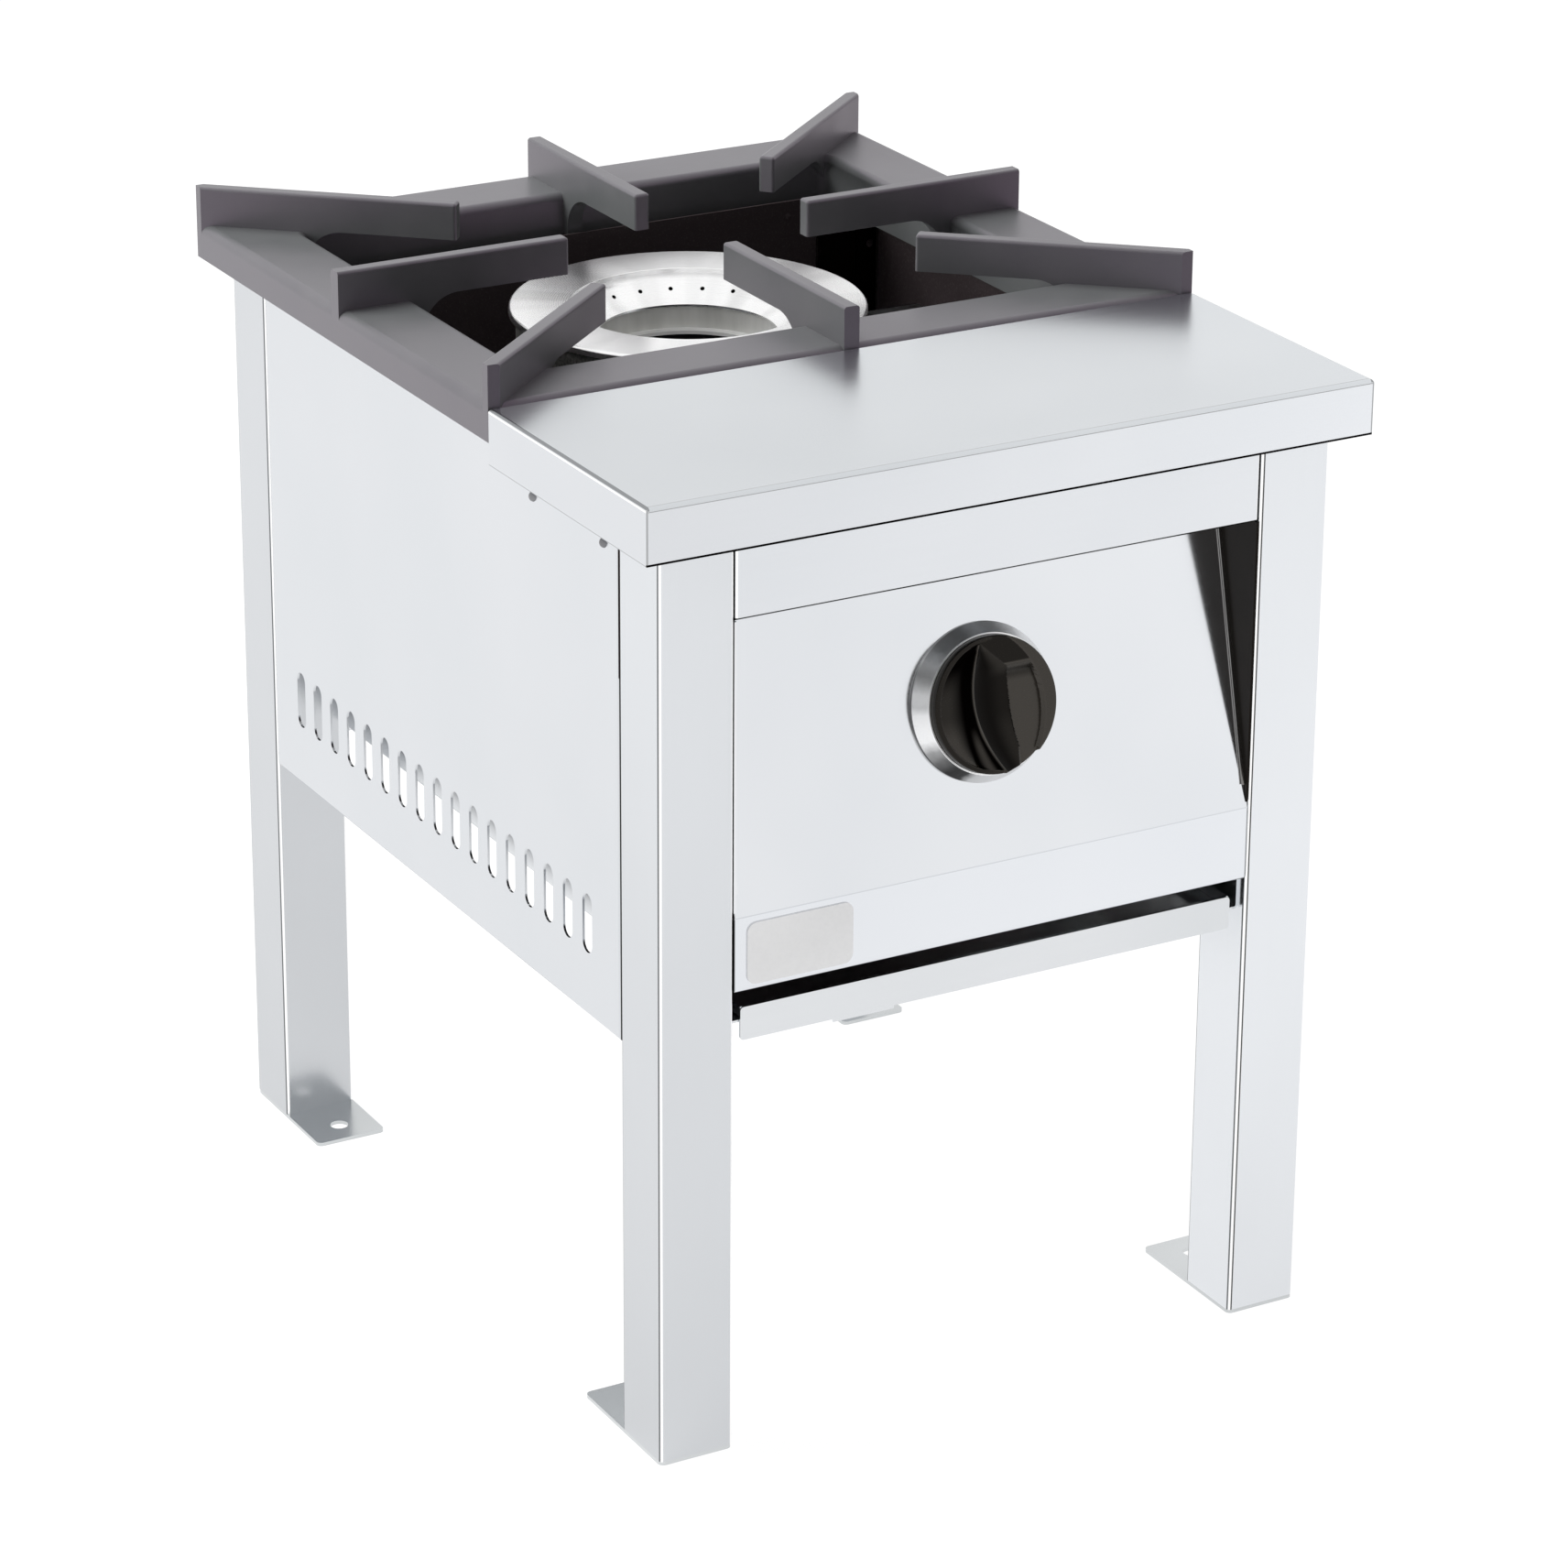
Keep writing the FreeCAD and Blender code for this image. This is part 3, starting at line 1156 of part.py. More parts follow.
# ---- all pieces ----
def pieces():
    made = {}
    for place, front in (("front", True), ("rear", False)):
        made[f"{place}_right_leg"] = leg(front)
        made[f"{place}_left_leg"] = mirror_x(leg(front))
        made[f"{place}_right_foot_plate"] = foot_plate(front)
        made[f"{place}_left_foot_plate"] = mirror_x(foot_plate(front))
    for name, make in (
        ("side_panel", side_panel), ("panel_cheek", panel_cheek), ("cheek_edge", cheek_edge),
        ("liner", side_liner), ("tray_runner", tray_runner),
    ):
        made[f"right_{name}"] = make()
        made[f"left_{name}"] = mirror_x(make())
    for make in (
        back_panel, work_shelf, header_panel, control_panel, name_plate,
        knob_bezel, valve_spindle, valve_rotor, gas_valve, valve_bracket, valve_nut,
        gas_inlet_fitting, inlet_locknut, gas_rail, burner_feed_pipe, injector_holder,
        gas_injector, air_shutter, mixing_tube, burner_ring, burner_body, thermocouple,
        probe_clip, back_liner, front_liner, lining_rivets, shelf_screws,
        pan_support_frame, drip_tray,
    ):
        made[make.__name__] = make()
    made["control_knob"] = knob()
    made["front_burner_bar"] = burner_bar(-1)
    made["rear_burner_bar"] = burner_bar(1)
    made.update(pan_support_fingers())
    return made


def main():
    os.makedirs("parts", exist_ok=True)
    for name, shape in sorted(pieces().items()):
        valid = shape.isValid()
        print(f"{name}: {len(shape.Solids)} solid(s), {shape.Volume:.0f} mm3, valid {valid}")
        shape.exportStep(f"parts/{name}.step")


main()
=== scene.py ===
"""Looks of a free-standing stock pot range: brushed cabinet, enamelled pan support, ring burner.

Everything is in metres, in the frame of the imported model: X to the right seen from the
front, Y to the back, Z up from the floor. Sections follow the range as it is assembled.
"""
import bpy
import bmesh
import math
from mathutils import Matrix, Vector


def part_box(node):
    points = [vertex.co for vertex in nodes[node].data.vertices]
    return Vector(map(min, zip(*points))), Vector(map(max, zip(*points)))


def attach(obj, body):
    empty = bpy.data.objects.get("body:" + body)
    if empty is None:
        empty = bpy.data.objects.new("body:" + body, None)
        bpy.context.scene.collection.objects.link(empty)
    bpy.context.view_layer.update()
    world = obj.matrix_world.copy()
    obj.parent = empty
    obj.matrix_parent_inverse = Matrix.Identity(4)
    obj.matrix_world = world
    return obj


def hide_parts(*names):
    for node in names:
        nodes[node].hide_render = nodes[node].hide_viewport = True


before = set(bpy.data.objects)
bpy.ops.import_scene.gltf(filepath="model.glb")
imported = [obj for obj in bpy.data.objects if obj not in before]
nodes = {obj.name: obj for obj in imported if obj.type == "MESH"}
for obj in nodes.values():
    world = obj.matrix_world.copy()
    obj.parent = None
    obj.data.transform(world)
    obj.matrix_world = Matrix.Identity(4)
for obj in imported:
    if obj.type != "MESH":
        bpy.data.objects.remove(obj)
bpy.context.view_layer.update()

# ---- camera and studio ----
# A long lens stands in front and to the left of the range, well above its top, and looks
# down at it. Floor, backdrop and light are plain white, as in a catalogue studio.
scene = bpy.context.scene
scene.view_settings.view_transform = "Standard"

WHITE = (1.0, 1.0, 1.0)
CAMERA_PLACE = (-1.2856, -2.3213, 1.3330)
CAMERA_YAW = 0.51062      # angles in radians
CAMERA_PITCH = 0.36844
CAMERA_ROLL = 0.006467
SENSOR_WIDTH = 36.0       # millimetres
FOCAL_LENGTH = 125.46     # millimetres
VIEW_SHIFT = -0.080       # share of the frame
lens = bpy.data.cameras.new("camera")
lens.sensor_width = SENSOR_WIDTH
lens.lens = FOCAL_LENGTH
lens.shift_y = VIEW_SHIFT
camera = bpy.data.objects.new("camera", lens)
aim = Matrix.Rotation(-CAMERA_YAW, 4, "Z")
aim = aim @ Matrix.Rotation(math.pi / 2 - CAMERA_PITCH, 4, "X")
aim = aim @ Matrix.Rotation(CAMERA_ROLL, 4, "Z")
camera.matrix_world = Matrix.Translation(CAMERA_PLACE) @ aim
scene.collection.objects.link(camera)
scene.camera = camera


def maths(tree, operation, *values):
    """One Math node fed with sockets or plain numbers."""
    node = tree.nodes.new("ShaderNodeMath")
    node.operation = operation
    for socket, value in zip(node.inputs, values):
        if isinstance(value, (int, float)):
            socket.default_value = value
        else:
            tree.links.new(value, socket)
    return node.outputs[0]


def seen_directly(tree):
    """1 for what the camera, a reflection or glass sees, 0 for scattered light."""
    path = tree.nodes.new("ShaderNodeLightPath")
    seen = maths(tree, "MAXIMUM", path.outputs["Is Camera Ray"], path.outputs["Is Glossy Ray"])
    return maths(tree, "MAXIMUM", seen, path.outputs["Is Transmission Ray"])


WORLD_FILL = 0.16         # strength that lights the scene; 1 is white
world = bpy.data.worlds.new("studio")
scene.world = world
world.use_nodes = True
sky = world.node_tree
backdrop = sky.nodes["Background"]
backdrop.inputs["Color"].default_value = (*WHITE, 1.0)
strength = sky.nodes.new("ShaderNodeMapRange")
strength.inputs["To Min"].default_value = WORLD_FILL
strength.inputs["To Max"].default_value = 1.0
sky.links.new(seen_directly(sky), strength.inputs["Value"])
sky.links.new(strength.outputs["Result"], backdrop.inputs["Strength"])

FLOOR_HALF = 6.0
FLOOR_PAINT = (0.80, 0.80, 0.80)
FLOOR_GLOW = 1.18         # strength of its own light; 1 is white
FLOOR_GLOW_SHARE = 0.82   # the rest is paint, which keeps the shadow
floor_mesh = bpy.data.meshes.new("floor")
shape = bmesh.new()
bmesh.ops.create_grid(shape, x_segments=1, y_segments=1, size=FLOOR_HALF)
shape.to_mesh(floor_mesh)
shape.free()
floor = bpy.data.objects.new("floor", floor_mesh)
scene.collection.objects.link(floor)
floor_finish = bpy.data.materials.new("studio_floor")
floor_finish.use_nodes = True
tree = floor_finish.node_tree
paint = tree.nodes["Principled BSDF"]
paint.inputs["Base Color"].default_value = (*FLOOR_PAINT, 1.0)
paint.inputs["Roughness"].default_value = 0.9
paint.inputs["Specular IOR Level"].default_value = 0.0
glow = tree.nodes.new("ShaderNodeEmission")
glow.inputs["Color"].default_value = (*WHITE, 1.0)
glow.inputs["Strength"].default_value = FLOOR_GLOW
mix = tree.nodes.new("ShaderNodeMixShader")
tree.links.new(maths(tree, "MULTIPLY", seen_directly(tree), FLOOR_GLOW_SHARE), mix.inputs["Fac"])
tree.links.new(paint.outputs[0], mix.inputs[1])
tree.links.new(glow.outputs[0], mix.inputs[2])
tree.links.new(mix.outputs[0], tree.nodes["Material Output"].inputs["Surface"])
floor_mesh.materials.append(floor_finish)

LIT_POINT = Vector((0.0, 0.0, 0.4))
SOFTBOXES = (             # name, place, side in metres, power in watts
    ("left_softbox", (-2.6, 1.3, 1.5), 1.6, 70.0),
    ("top_softbox", (-0.5, 1.0, 2.8), 1.8, 64.0),
)
for name, place, side, power in SOFTBOXES:
    lamp = bpy.data.lights.new(name, "AREA")
    lamp.shape = "SQUARE"
    lamp.size = side
    lamp.energy = power
    softbox = bpy.data.objects.new(name, lamp)
    softbox.location = place
    toward = LIT_POINT - Vector(place)
    softbox.rotation_euler = toward.to_track_quat("-Z", "Y").to_euler()
    softbox.visible_glossy = False
    scene.collection.objects.link(softbox)


# ---- legs and foot plates ----
# Four square stainless tubes, ground along their length, stand on folded-out plates.
# Each plate is thin sheet welded under its leg, with one hole for a floor bolt.
def new_finish(name, roughness, metallic=0.0):
    """A material with one Principled shader; returns it, its tree and that shader."""
    finish = bpy.data.materials.new(name)
    finish.use_nodes = True
    shader = finish.node_tree.nodes["Principled BSDF"]
    shader.inputs["Roughness"].default_value = roughness
    shader.inputs["Metallic"].default_value = metallic
    return finish, finish.node_tree, shader


def placed(tree, stretch, centre=(0.0, 0.0, 0.0)):
    """Object coordinates, centred and scaled along the three axes."""
    coordinates = tree.nodes.new("ShaderNodeTexCoord")
    mapping = tree.nodes.new("ShaderNodeMapping")
    mapping.vector_type = "TEXTURE"
    mapping.inputs["Location"].default_value = centre
    mapping.inputs["Scale"].default_value = [1.0 / s for s in stretch]
    tree.links.new(coordinates.outputs["Object"], mapping.inputs["Vector"])
    return mapping.outputs["Vector"]


def evenly(tree, scale):
    """Object coordinates, scaled alike along the three axes."""
    return placed(tree, (scale, scale, scale))


def axes(tree):
    """Object X, Y and Z as three values."""
    apart = tree.nodes.new("ShaderNodeSeparateXYZ")
    tree.links.new(evenly(tree, 1.0), apart.inputs[0])
    return apart.outputs


NOISE_LOW = 0.3           # noise seldom leaves this range
NOISE_HIGH = 0.7


def noise(tree, place, detail=2.0, roughness=0.5):
    """Soft noise, mostly between the two values above."""
    texture = tree.nodes.new("ShaderNodeTexNoise")
    texture.inputs["Scale"].default_value = 1.0
    texture.inputs["Detail"].default_value = detail
    texture.inputs["Roughness"].default_value = roughness
    tree.links.new(place, texture.inputs["Vector"])
    return texture.outputs["Fac"]


def spread(tree, value, low, high, start=NOISE_LOW, end=NOISE_HIGH):
    """Map a value onto another range."""
    ranged = tree.nodes.new("ShaderNodeMapRange")
    ranged.inputs["From Min"].default_value = start
    ranged.inputs["From Max"].default_value = end
    ranged.inputs["To Min"].default_value = low
    ranged.inputs["To Max"].default_value = high
    tree.links.new(value, ranged.inputs["Value"])
    return ranged.outputs["Result"]


def blended(tree, value, *stops):
    """Colour ramp from (position, colour) stops."""
    ramp = tree.nodes.new("ShaderNodeValToRGB")
    places = ramp.color_ramp.elements
    places[0].position = stops[0][0]
    places[0].color = (*stops[0][1], 1.0)
    places[1].position = stops[-1][0]
    places[1].color = (*stops[-1][1], 1.0)
    for position, colour in stops[1:-1]:
        places.new(position).color = (*colour, 1.0)
    tree.links.new(value, ramp.inputs["Fac"])
    return ramp.outputs["Color"]


def mottled(tree, pattern, low, high):
    """Two colours blended by a noise."""
    return blended(tree, pattern, (NOISE_LOW, low), (NOISE_HIGH, high))


MIX_SHARE = 0             # the sockets of a Mix node for colours
MIX_UNDER = 6
MIX_OVER = 7
MIX_RESULT = 2


def covered(tree, colour, mask, over):
    """The colour, with another one, plain or from a socket, where the mask is 1."""
    mix = tree.nodes.new("ShaderNodeMix")
    mix.data_type = "RGBA"
    tree.links.new(mask, mix.inputs[MIX_SHARE])
    tree.links.new(colour, mix.inputs[MIX_UNDER])
    if isinstance(over, tuple):
        mix.inputs[MIX_OVER].default_value = (*over, 1.0)
    else:
        tree.links.new(over, mix.inputs[MIX_OVER])
    return mix.outputs[MIX_RESULT]


def scaled(tree, colour, factor):
    """The colour made lighter or darker by a factor."""
    product = tree.nodes.new("ShaderNodeVectorMath")
    product.operation = "SCALE"
    tree.links.new(colour, product.inputs[0])
    tree.links.new(factor, product.inputs["Scale"])
    return product.outputs[0]


def rough_surface(tree, shader, height, depth):
    """Fine relief of a given depth in metres."""
    bump = tree.nodes.new("ShaderNodeBump")
    bump.inputs["Strength"].default_value = 1.0
    bump.inputs["Distance"].default_value = depth
    tree.links.new(height, bump.inputs["Height"])
    tree.links.new(bump.outputs["Normal"], shader.inputs["Normal"])


CLOUD_SCALE = 7.0


def brushed_steel(name, grain, dull, bright, roughness=(0.20, 0.27), depth=0.0000015):
    """Stainless sheet ground along the axis whose grain value is low."""
    finish, tree, shader = new_finish(name, roughness[0], metallic=1.0)
    lines = noise(tree, placed(tree, grain), detail=3.0, roughness=0.6)
    clouds = noise(tree, evenly(tree, CLOUD_SCALE), detail=2.0)
    colour = mottled(tree, clouds, dull, bright)
    tree.links.new(colour, shader.inputs["Base Color"])
    tree.links.new(spread(tree, lines, *roughness), shader.inputs["Roughness"])
    rough_surface(tree, shader, lines, depth)
    return finish, tree, shader, colour


def finish_nodes(finish, *names):
    """Give CAD nodes their finished material."""
    for name in names:
        piece = nodes[name]
        if not piece.material_slots:
            piece.data.materials.append(finish)
        for slot in piece.material_slots:
            slot.material = finish


def edge_gap(tree, value, low, high):
    """Distance from the nearer of two ends."""
    return maths(
        tree, "MINIMUM", maths(tree, "SUBTRACT", value, low), maths(tree, "SUBTRACT", high, value)
    )


def within(tree, value, low, high):
    """1 where a value lies between two others."""
    return maths(tree, "COMPARE", value, (low + high) / 2, (high - low) / 2)


def both(tree, one, other):
    """1 where two masks are 1."""
    return maths(tree, "MULTIPLY", one, other)


PAST = 0.001              # a mask starts just past an edge, so that it takes in the edge
FAR = 1.0                 # farther than any piece reaches
SKIN = 0.0004             # depth that still counts as the face itself
SHADE_BAND = (0.0009, 0.0018)
SHADE_SKIN = 0.0005
SHINE_BAND = (0.0004, 0.0014)
SHINE_SKIN = 0.0009


def fold_lines(tree, colour, across, along, dark):
    """Painted reflections down a folded corner, a dark line and a bright highlight, from distances
    to its two faces.
    """
    shade = both(tree, within(tree, along, *SHADE_BAND), within(tree, across, -PAST, SHADE_SKIN))
    shine = both(tree, within(tree, across, *SHINE_BAND), within(tree, along, -PAST, SHINE_SKIN))
    return covered(tree, covered(tree, colour, shade, dark), shine, WHITE)


# How fast the grain changes along the three axes: ground lines run along the slow one.
ALONG_Z = (2500.0, 2500.0, 12.0)
ALONG_X = (12.0, 2500.0, 2500.0)
ALONG_Y = (2500.0, 12.0, 2500.0)
STEEL_DULL = (0.725, 0.745, 0.775)
STEEL_BRIGHT = (0.765, 0.780, 0.808)
LEG_DULL = 0.735
LEG_BRIGHT = 0.762
COOL_TINT = (0.975, 1.0, 1.035)       # steel reflects a little more blue than red
# painted reflection: dark lines in the rounding of folded leg corners
FOLD_DARK_REFLECTION = (0.16, 0.165, 0.17)
INNER_FOLD_DARK_REFLECTION = (0.10, 0.10, 0.10)
INNER_FOLD_REFLECTION_BAND = (0.0014, 0.0022)
INNER_FOLD_REFLECTION_SKIN = 0.0008
# near-black for the faces inside the well, above WELL_FOOT
WELL_BLACK = (0.024, 0.019, 0.019)
WELL_BLACK_REACH = 0.003        # how far the near-black inside the well goes round the corners of a rear leg
WELL_FOOT = 0.40          # the inside is blackened above this height
CABINET_FOOT = 0.24       # the legs stand free below this height
LIGHT_CHANGE_TOP = 0.44           # and their painted light and shade changes up to this one
# painted shade: the legs darken towards the floor, down to this tone
FOOT_SHADE = 0.93
LEG_TONES = (             # place, tone of front and back, of the sides, and at CABINET_FOOT: painted light and shade
    ("front_left", 1.00, 0.92, 0.92), ("front_right", 1.09, 1.10, 1.02),
    ("rear_left", 0.88, 0.84, 0.97), ("rear_right", 0.97, 0.94, 0.97),
)
for place, tone, side_tone, light_at_cabinet_foot in LEG_TONES:
    low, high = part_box(place + "_leg")
    finish, tree, shader, colour = brushed_steel(
        place + "_leg_steel", ALONG_Z,
        [LEG_DULL * tone * part for part in COOL_TINT],
        [LEG_BRIGHT * tone * part for part in COOL_TINT],
    )
    x, y, z = axes(tree)
    across = edge_gap(tree, x, low.x, high.x)
    on_side = within(tree, across, -PAST, SKIN)
    # painted light and shade: each leg, its sides and its lower part are made lighter or darker as
    # light falls on them
    colour = scaled(tree, colour, spread(tree, on_side, 1.0, side_tone / tone, 0.0, 1.0))
    colour = scaled(tree, colour, spread(tree, z, light_at_cabinet_foot, 1.0, CABINET_FOOT, LIGHT_CHANGE_TOP))
    colour = scaled(tree, colour, spread(tree, z, FOOT_SHADE, 1.0, 0.0, CABINET_FOOT))
    along = edge_gap(tree, y, low.y, high.y)
    colour = fold_lines(tree, colour, across, along, FOLD_DARK_REFLECTION)
    # painted reflection: on the right legs, a second dark line beside the inner corner
    if "right" in place:
        start, end = INNER_FOLD_REFLECTION_BAND
        inner_fold_reflection = both(
            tree, within(tree, x, low.x + start, low.x + end),
            within(tree, along, -PAST, INNER_FOLD_REFLECTION_SKIN),
        )
        colour = covered(tree, colour, inner_fold_reflection, INNER_FOLD_DARK_REFLECTION)
    # rear legs: their faces towards the well are made near-black above WELL_FOOT
    if "rear" in place:
        blackened_in_well = both(
            tree, within(tree, y, low.y - PAST, low.y + WELL_BLACK_REACH), within(tree, z, WELL_FOOT, FAR)
        )
        outer_side = max(abs(low.x), abs(high.x))
        inward = within(tree, maths(tree, "ABSOLUTE", x), 0.0, outer_side - WELL_BLACK_REACH)
        colour = covered(tree, colour, both(tree, blackened_in_well, inward), WELL_BLACK)
    tree.links.new(colour, shader.inputs["Base Color"])
    finish_nodes(finish, place + "_leg")
plate_steel = brushed_steel("foot_plate_steel", ALONG_Y, (0.56, 0.58, 0.59), (0.68, 0.70, 0.71))[0]
finish_nodes(plate_steel, *[place + "_foot_plate" for place, *_ in LEG_TONES])

# ---- side panels and back panel ----
# Folded sheets of fine-ground stainless steel between the legs. The side panels have a row
# of upright air slots low down, and the gas inlet comes out of the back panel.
# painted shade: dark lines where parts meet, in the gaps between them
PANEL_GAP_SHADE_WIDTH = 0.0007
GAP_SHADE = (0.03, 0.03, 0.03)
low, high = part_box("right_side_panel")
# painted shade: the side panels' steel is made darker than the other steel
finish, tree, shader, colour = brushed_steel(
    "panel_steel", ALONG_Z, (0.645, 0.665, 0.690), (0.672, 0.686, 0.710)
)
x, y, z = axes(tree)
# painted shade: a dark line along the front and back edges, in the gaps beside the legs
gap_shade = within(tree, edge_gap(tree, y, low.y, high.y), -PAST, PANEL_GAP_SHADE_WIDTH)
colour = covered(tree, colour, gap_shade, GAP_SHADE)
# side panels: their inner faces are made near-black above WELL_FOOT
inside = within(tree, maths(tree, "ABSOLUTE", x), 0.0, high.x - SKIN)
blackened_in_well = both(tree, inside, within(tree, z, WELL_FOOT, FAR))
colour = covered(tree, colour, blackened_in_well, WELL_BLACK)
tree.links.new(colour, shader.inputs["Base Color"])
finish_nodes(finish, "left_side_panel", "right_side_panel")
back_steel = brushed_steel("back_panel_steel", ALONG_Z, STEEL_DULL, STEEL_BRIGHT)[0]
finish_nodes(back_steel, "back_panel")

# ---- work shelf ----
# One sheet folded down all round, ground and hemmed, with welded upright corners. It is
# held from below by small screws in the side panels.
APRON_BAND = (0.0018, 0.1)            # the aprons, measured down from the shelf's top
APRON_SKIN = 0.0008
# painted light and shade: the top is darker than the aprons, the side aprons darker than the front
# one, and top and front apron lighten towards the right
TOP_TONES = (0.96, 1.04)              # painted light, from the left end to the right one
APRON_FRONT_TONES = (1.0, 1.08)
APRON_SIDE_TONE = 0.91
# painted reflections in the folds, and a painted shadow under the front hem
FOLD_GREY = (0.42, 0.43, 0.44)
TOP_FOLD_GREY = (0.52, 0.53, 0.54)
SIDE_FOLD_GREY = (0.30, 0.31, 0.32)
HEM_SHADE = (0.004, 0.004, 0.004)
low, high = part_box("work_shelf")
finish, tree, shader, colour = brushed_steel(
    "shelf_steel", ALONG_X, (0.655, 0.680, 0.705), (0.688, 0.712, 0.736), (0.23, 0.27), 0.0000004
)
x, y, z = axes(tree)
side_gap = maths(tree, "SUBTRACT", high.x, maths(tree, "ABSOLUTE", x))
front_gap = maths(tree, "SUBTRACT", y, low.y)
drop = maths(tree, "SUBTRACT", high.z, z)
apron = within(tree, drop, *APRON_BAND)
clouds = noise(tree, evenly(tree, CLOUD_SCALE), detail=2.0)
# painted light: the aprons take lighter steel than the top
colour = covered(tree, colour, apron, mottled(tree, clouds, STEEL_DULL, STEEL_BRIGHT))
on_front = within(tree, front_gap, -PAST, APRON_SKIN)
on_side = within(tree, side_gap, -PAST, APRON_SKIN)
colour = scaled(tree, colour, spread(tree, x, *TOP_TONES, low.x, high.x))
from_left = maths(tree, "MULTIPLY", both(tree, apron, on_front), maths(tree, "SUBTRACT", x, low.x))
colour = scaled(tree, colour, spread(tree, from_left, *APRON_FRONT_TONES, 0.0, high.x - low.x))
apron_side = both(tree, apron, on_side)
colour = scaled(tree, colour, spread(tree, apron_side, 1.0, APRON_SIDE_TONE, 0.0, 1.0))
hem = high.z - low.z
for gap, start, end, beside, line in (
    # painted reflections: line under the front fold, line behind it on the top, and one beside each
    # side fold
    (drop, 0.0019, 0.0024, on_front, FOLD_GREY),
    (front_gap, 0.0017, 0.0022, within(tree, drop, -FAR, 0.001), TOP_FOLD_GREY),
    (side_gap, 0.0003, 0.0016, within(tree, drop, -FAR, 0.0016), SIDE_FOLD_GREY),
    # painted highlight under the side folds, painted reflections on the welded front corners and
    # the side hems, painted shadow under the front hem
    (drop, 0.0014, 0.0024, on_side, WHITE),
    (front_gap, -FAR, 0.0006, on_side, FOLD_GREY),
    (drop, hem - 0.0004, hem + PAST, on_side, FOLD_GREY),
    (drop, hem - 0.0011, hem + PAST, on_front, HEM_SHADE),
):
    colour = covered(tree, colour, both(tree, within(tree, gap, start, end), beside), line)
tree.links.new(colour, shader.inputs["Base Color"])
finish_nodes(finish, "work_shelf")
screw_steel = brushed_steel(
    "screw_steel", (900.0, 900.0, 900.0), (0.10, 0.10, 0.11), (0.30, 0.30, 0.31), (0.25, 0.4)
)[0]
finish_nodes(screw_steel, "shelf_screws")

# ---- header and control panel ----
# Under the shelf comes the upright header, a folded sheet, and below it the control panel,
# one sheet with an upright strip at its foot that leans back above it.
# painted light and shade on the header: reflections in its end folds, a shadow along its foot,
# lighter to the right
HEADER_FOLD = (0.32, 0.32, 0.33)
HEADER_HEM = 0.0014
HEADER_TONES = (1.01, 1.06)           # painted light, from the left end to the right one
low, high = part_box("header_panel")
finish, tree, shader, colour = brushed_steel("header_steel", ALONG_X, STEEL_DULL, STEEL_BRIGHT)
x, y, z = axes(tree)
end_gap = maths(tree, "SUBTRACT", high.x, maths(tree, "ABSOLUTE", x))
front_gap = maths(tree, "SUBTRACT", y, low.y)
colour = fold_lines(tree, colour, end_gap, front_gap, HEADER_FOLD)
# painted shade: a dark line along the foot of the header
foot = within(tree, z, low.z - PAST, low.z + HEADER_HEM)
colour = covered(tree, colour, foot, GAP_SHADE)
colour = scaled(tree, colour, spread(tree, x, *HEADER_TONES, low.x, high.x))
tree.links.new(colour, shader.inputs["Base Color"])
finish_nodes(finish, "header_panel")

KNOB_CENTRE = (0.0, -0.22207, 0.36166)
PANEL_LEAN = 13.0         # degrees from upright
KNOB_TURN = math.radians(90 - PANEL_LEAN)


def knob_axes(tree):
    """Places right of, above and out from the knob's centre on the leaning panel."""
    coordinates = tree.nodes.new("ShaderNodeTexCoord")
    mapping = tree.nodes.new("ShaderNodeMapping")
    mapping.vector_type = "TEXTURE"
    mapping.inputs["Location"].default_value = KNOB_CENTRE
    mapping.inputs["Rotation"].default_value = (KNOB_TURN, 0.0, 0.0)
    tree.links.new(coordinates.outputs["Object"], mapping.inputs["Vector"])
    apart = tree.nodes.new("ShaderNodeSeparateXYZ")
    tree.links.new(mapping.outputs["Vector"], apart.inputs[0])
    return apart.outputs


def distance(tree, across, along):
    """How far away a place is, from its distances along two axes."""
    return maths(tree, "SQRT", maths(
        tree, "ADD", maths(tree, "MULTIPLY", across, across), maths(tree, "MULTIPLY", along, along)
    ))


STRIP_TOP = 0.284
# painted light and shade: the upright strip darker than the leaning face, painted dark reflections
# at the ends, a painted reflection along the bend
STRIP_SHADED_STEEL = (0.71, 0.73, 0.765)
STRIP_SHARE = 0.6
PANEL_END_REFLECTION = (0.30, 0.31, 0.32)
BEND_REFLECTION = (0.62, 0.64, 0.67)
BEND_HALF = 0.0003
PANEL_TONES = (1.01, 1.07)            # painted light, from the left end to the right one
BEZEL_SHADE_SHIFT = 0.0026            # the bezel's narrow shade lies this far to the left
BEZEL_SHADE_TONE = 0.10
BEZEL_SHADE_EDGE = (0.0371, 0.0389)   # and fades out between these radii
low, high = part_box("control_panel")
finish, tree, shader, colour = brushed_steel(
    "control_panel_steel", ALONG_X, (0.735, 0.755, 0.785), (0.785, 0.800, 0.825), (0.10, 0.13)
)
x, _, z = axes(tree)
# painted shade on the upright strip, painted reflections at the ends and along the bend
on_strip = within(tree, z, 0.0, STRIP_TOP)
colour = covered(tree, colour, maths(tree, "MULTIPLY", on_strip, STRIP_SHARE), STRIP_SHADED_STEEL)
end = within(tree, maths(tree, "SUBTRACT", high.x, maths(tree, "ABSOLUTE", x)), -PAST, SKIN)
colour = covered(tree, colour, end, PANEL_END_REFLECTION)
bend = within(tree, z, STRIP_TOP - BEND_HALF, STRIP_TOP + BEND_HALF)
colour = covered(tree, colour, bend, BEND_REFLECTION)
colour = scaled(tree, colour, spread(tree, x, *PANEL_TONES, low.x, high.x))
u, w, _ = knob_axes(tree)
reach = distance(tree, maths(tree, "ADD", u, BEZEL_SHADE_SHIFT), w)
colour = scaled(tree, colour, spread(tree, reach, BEZEL_SHADE_TONE, 1.0, *BEZEL_SHADE_EDGE))
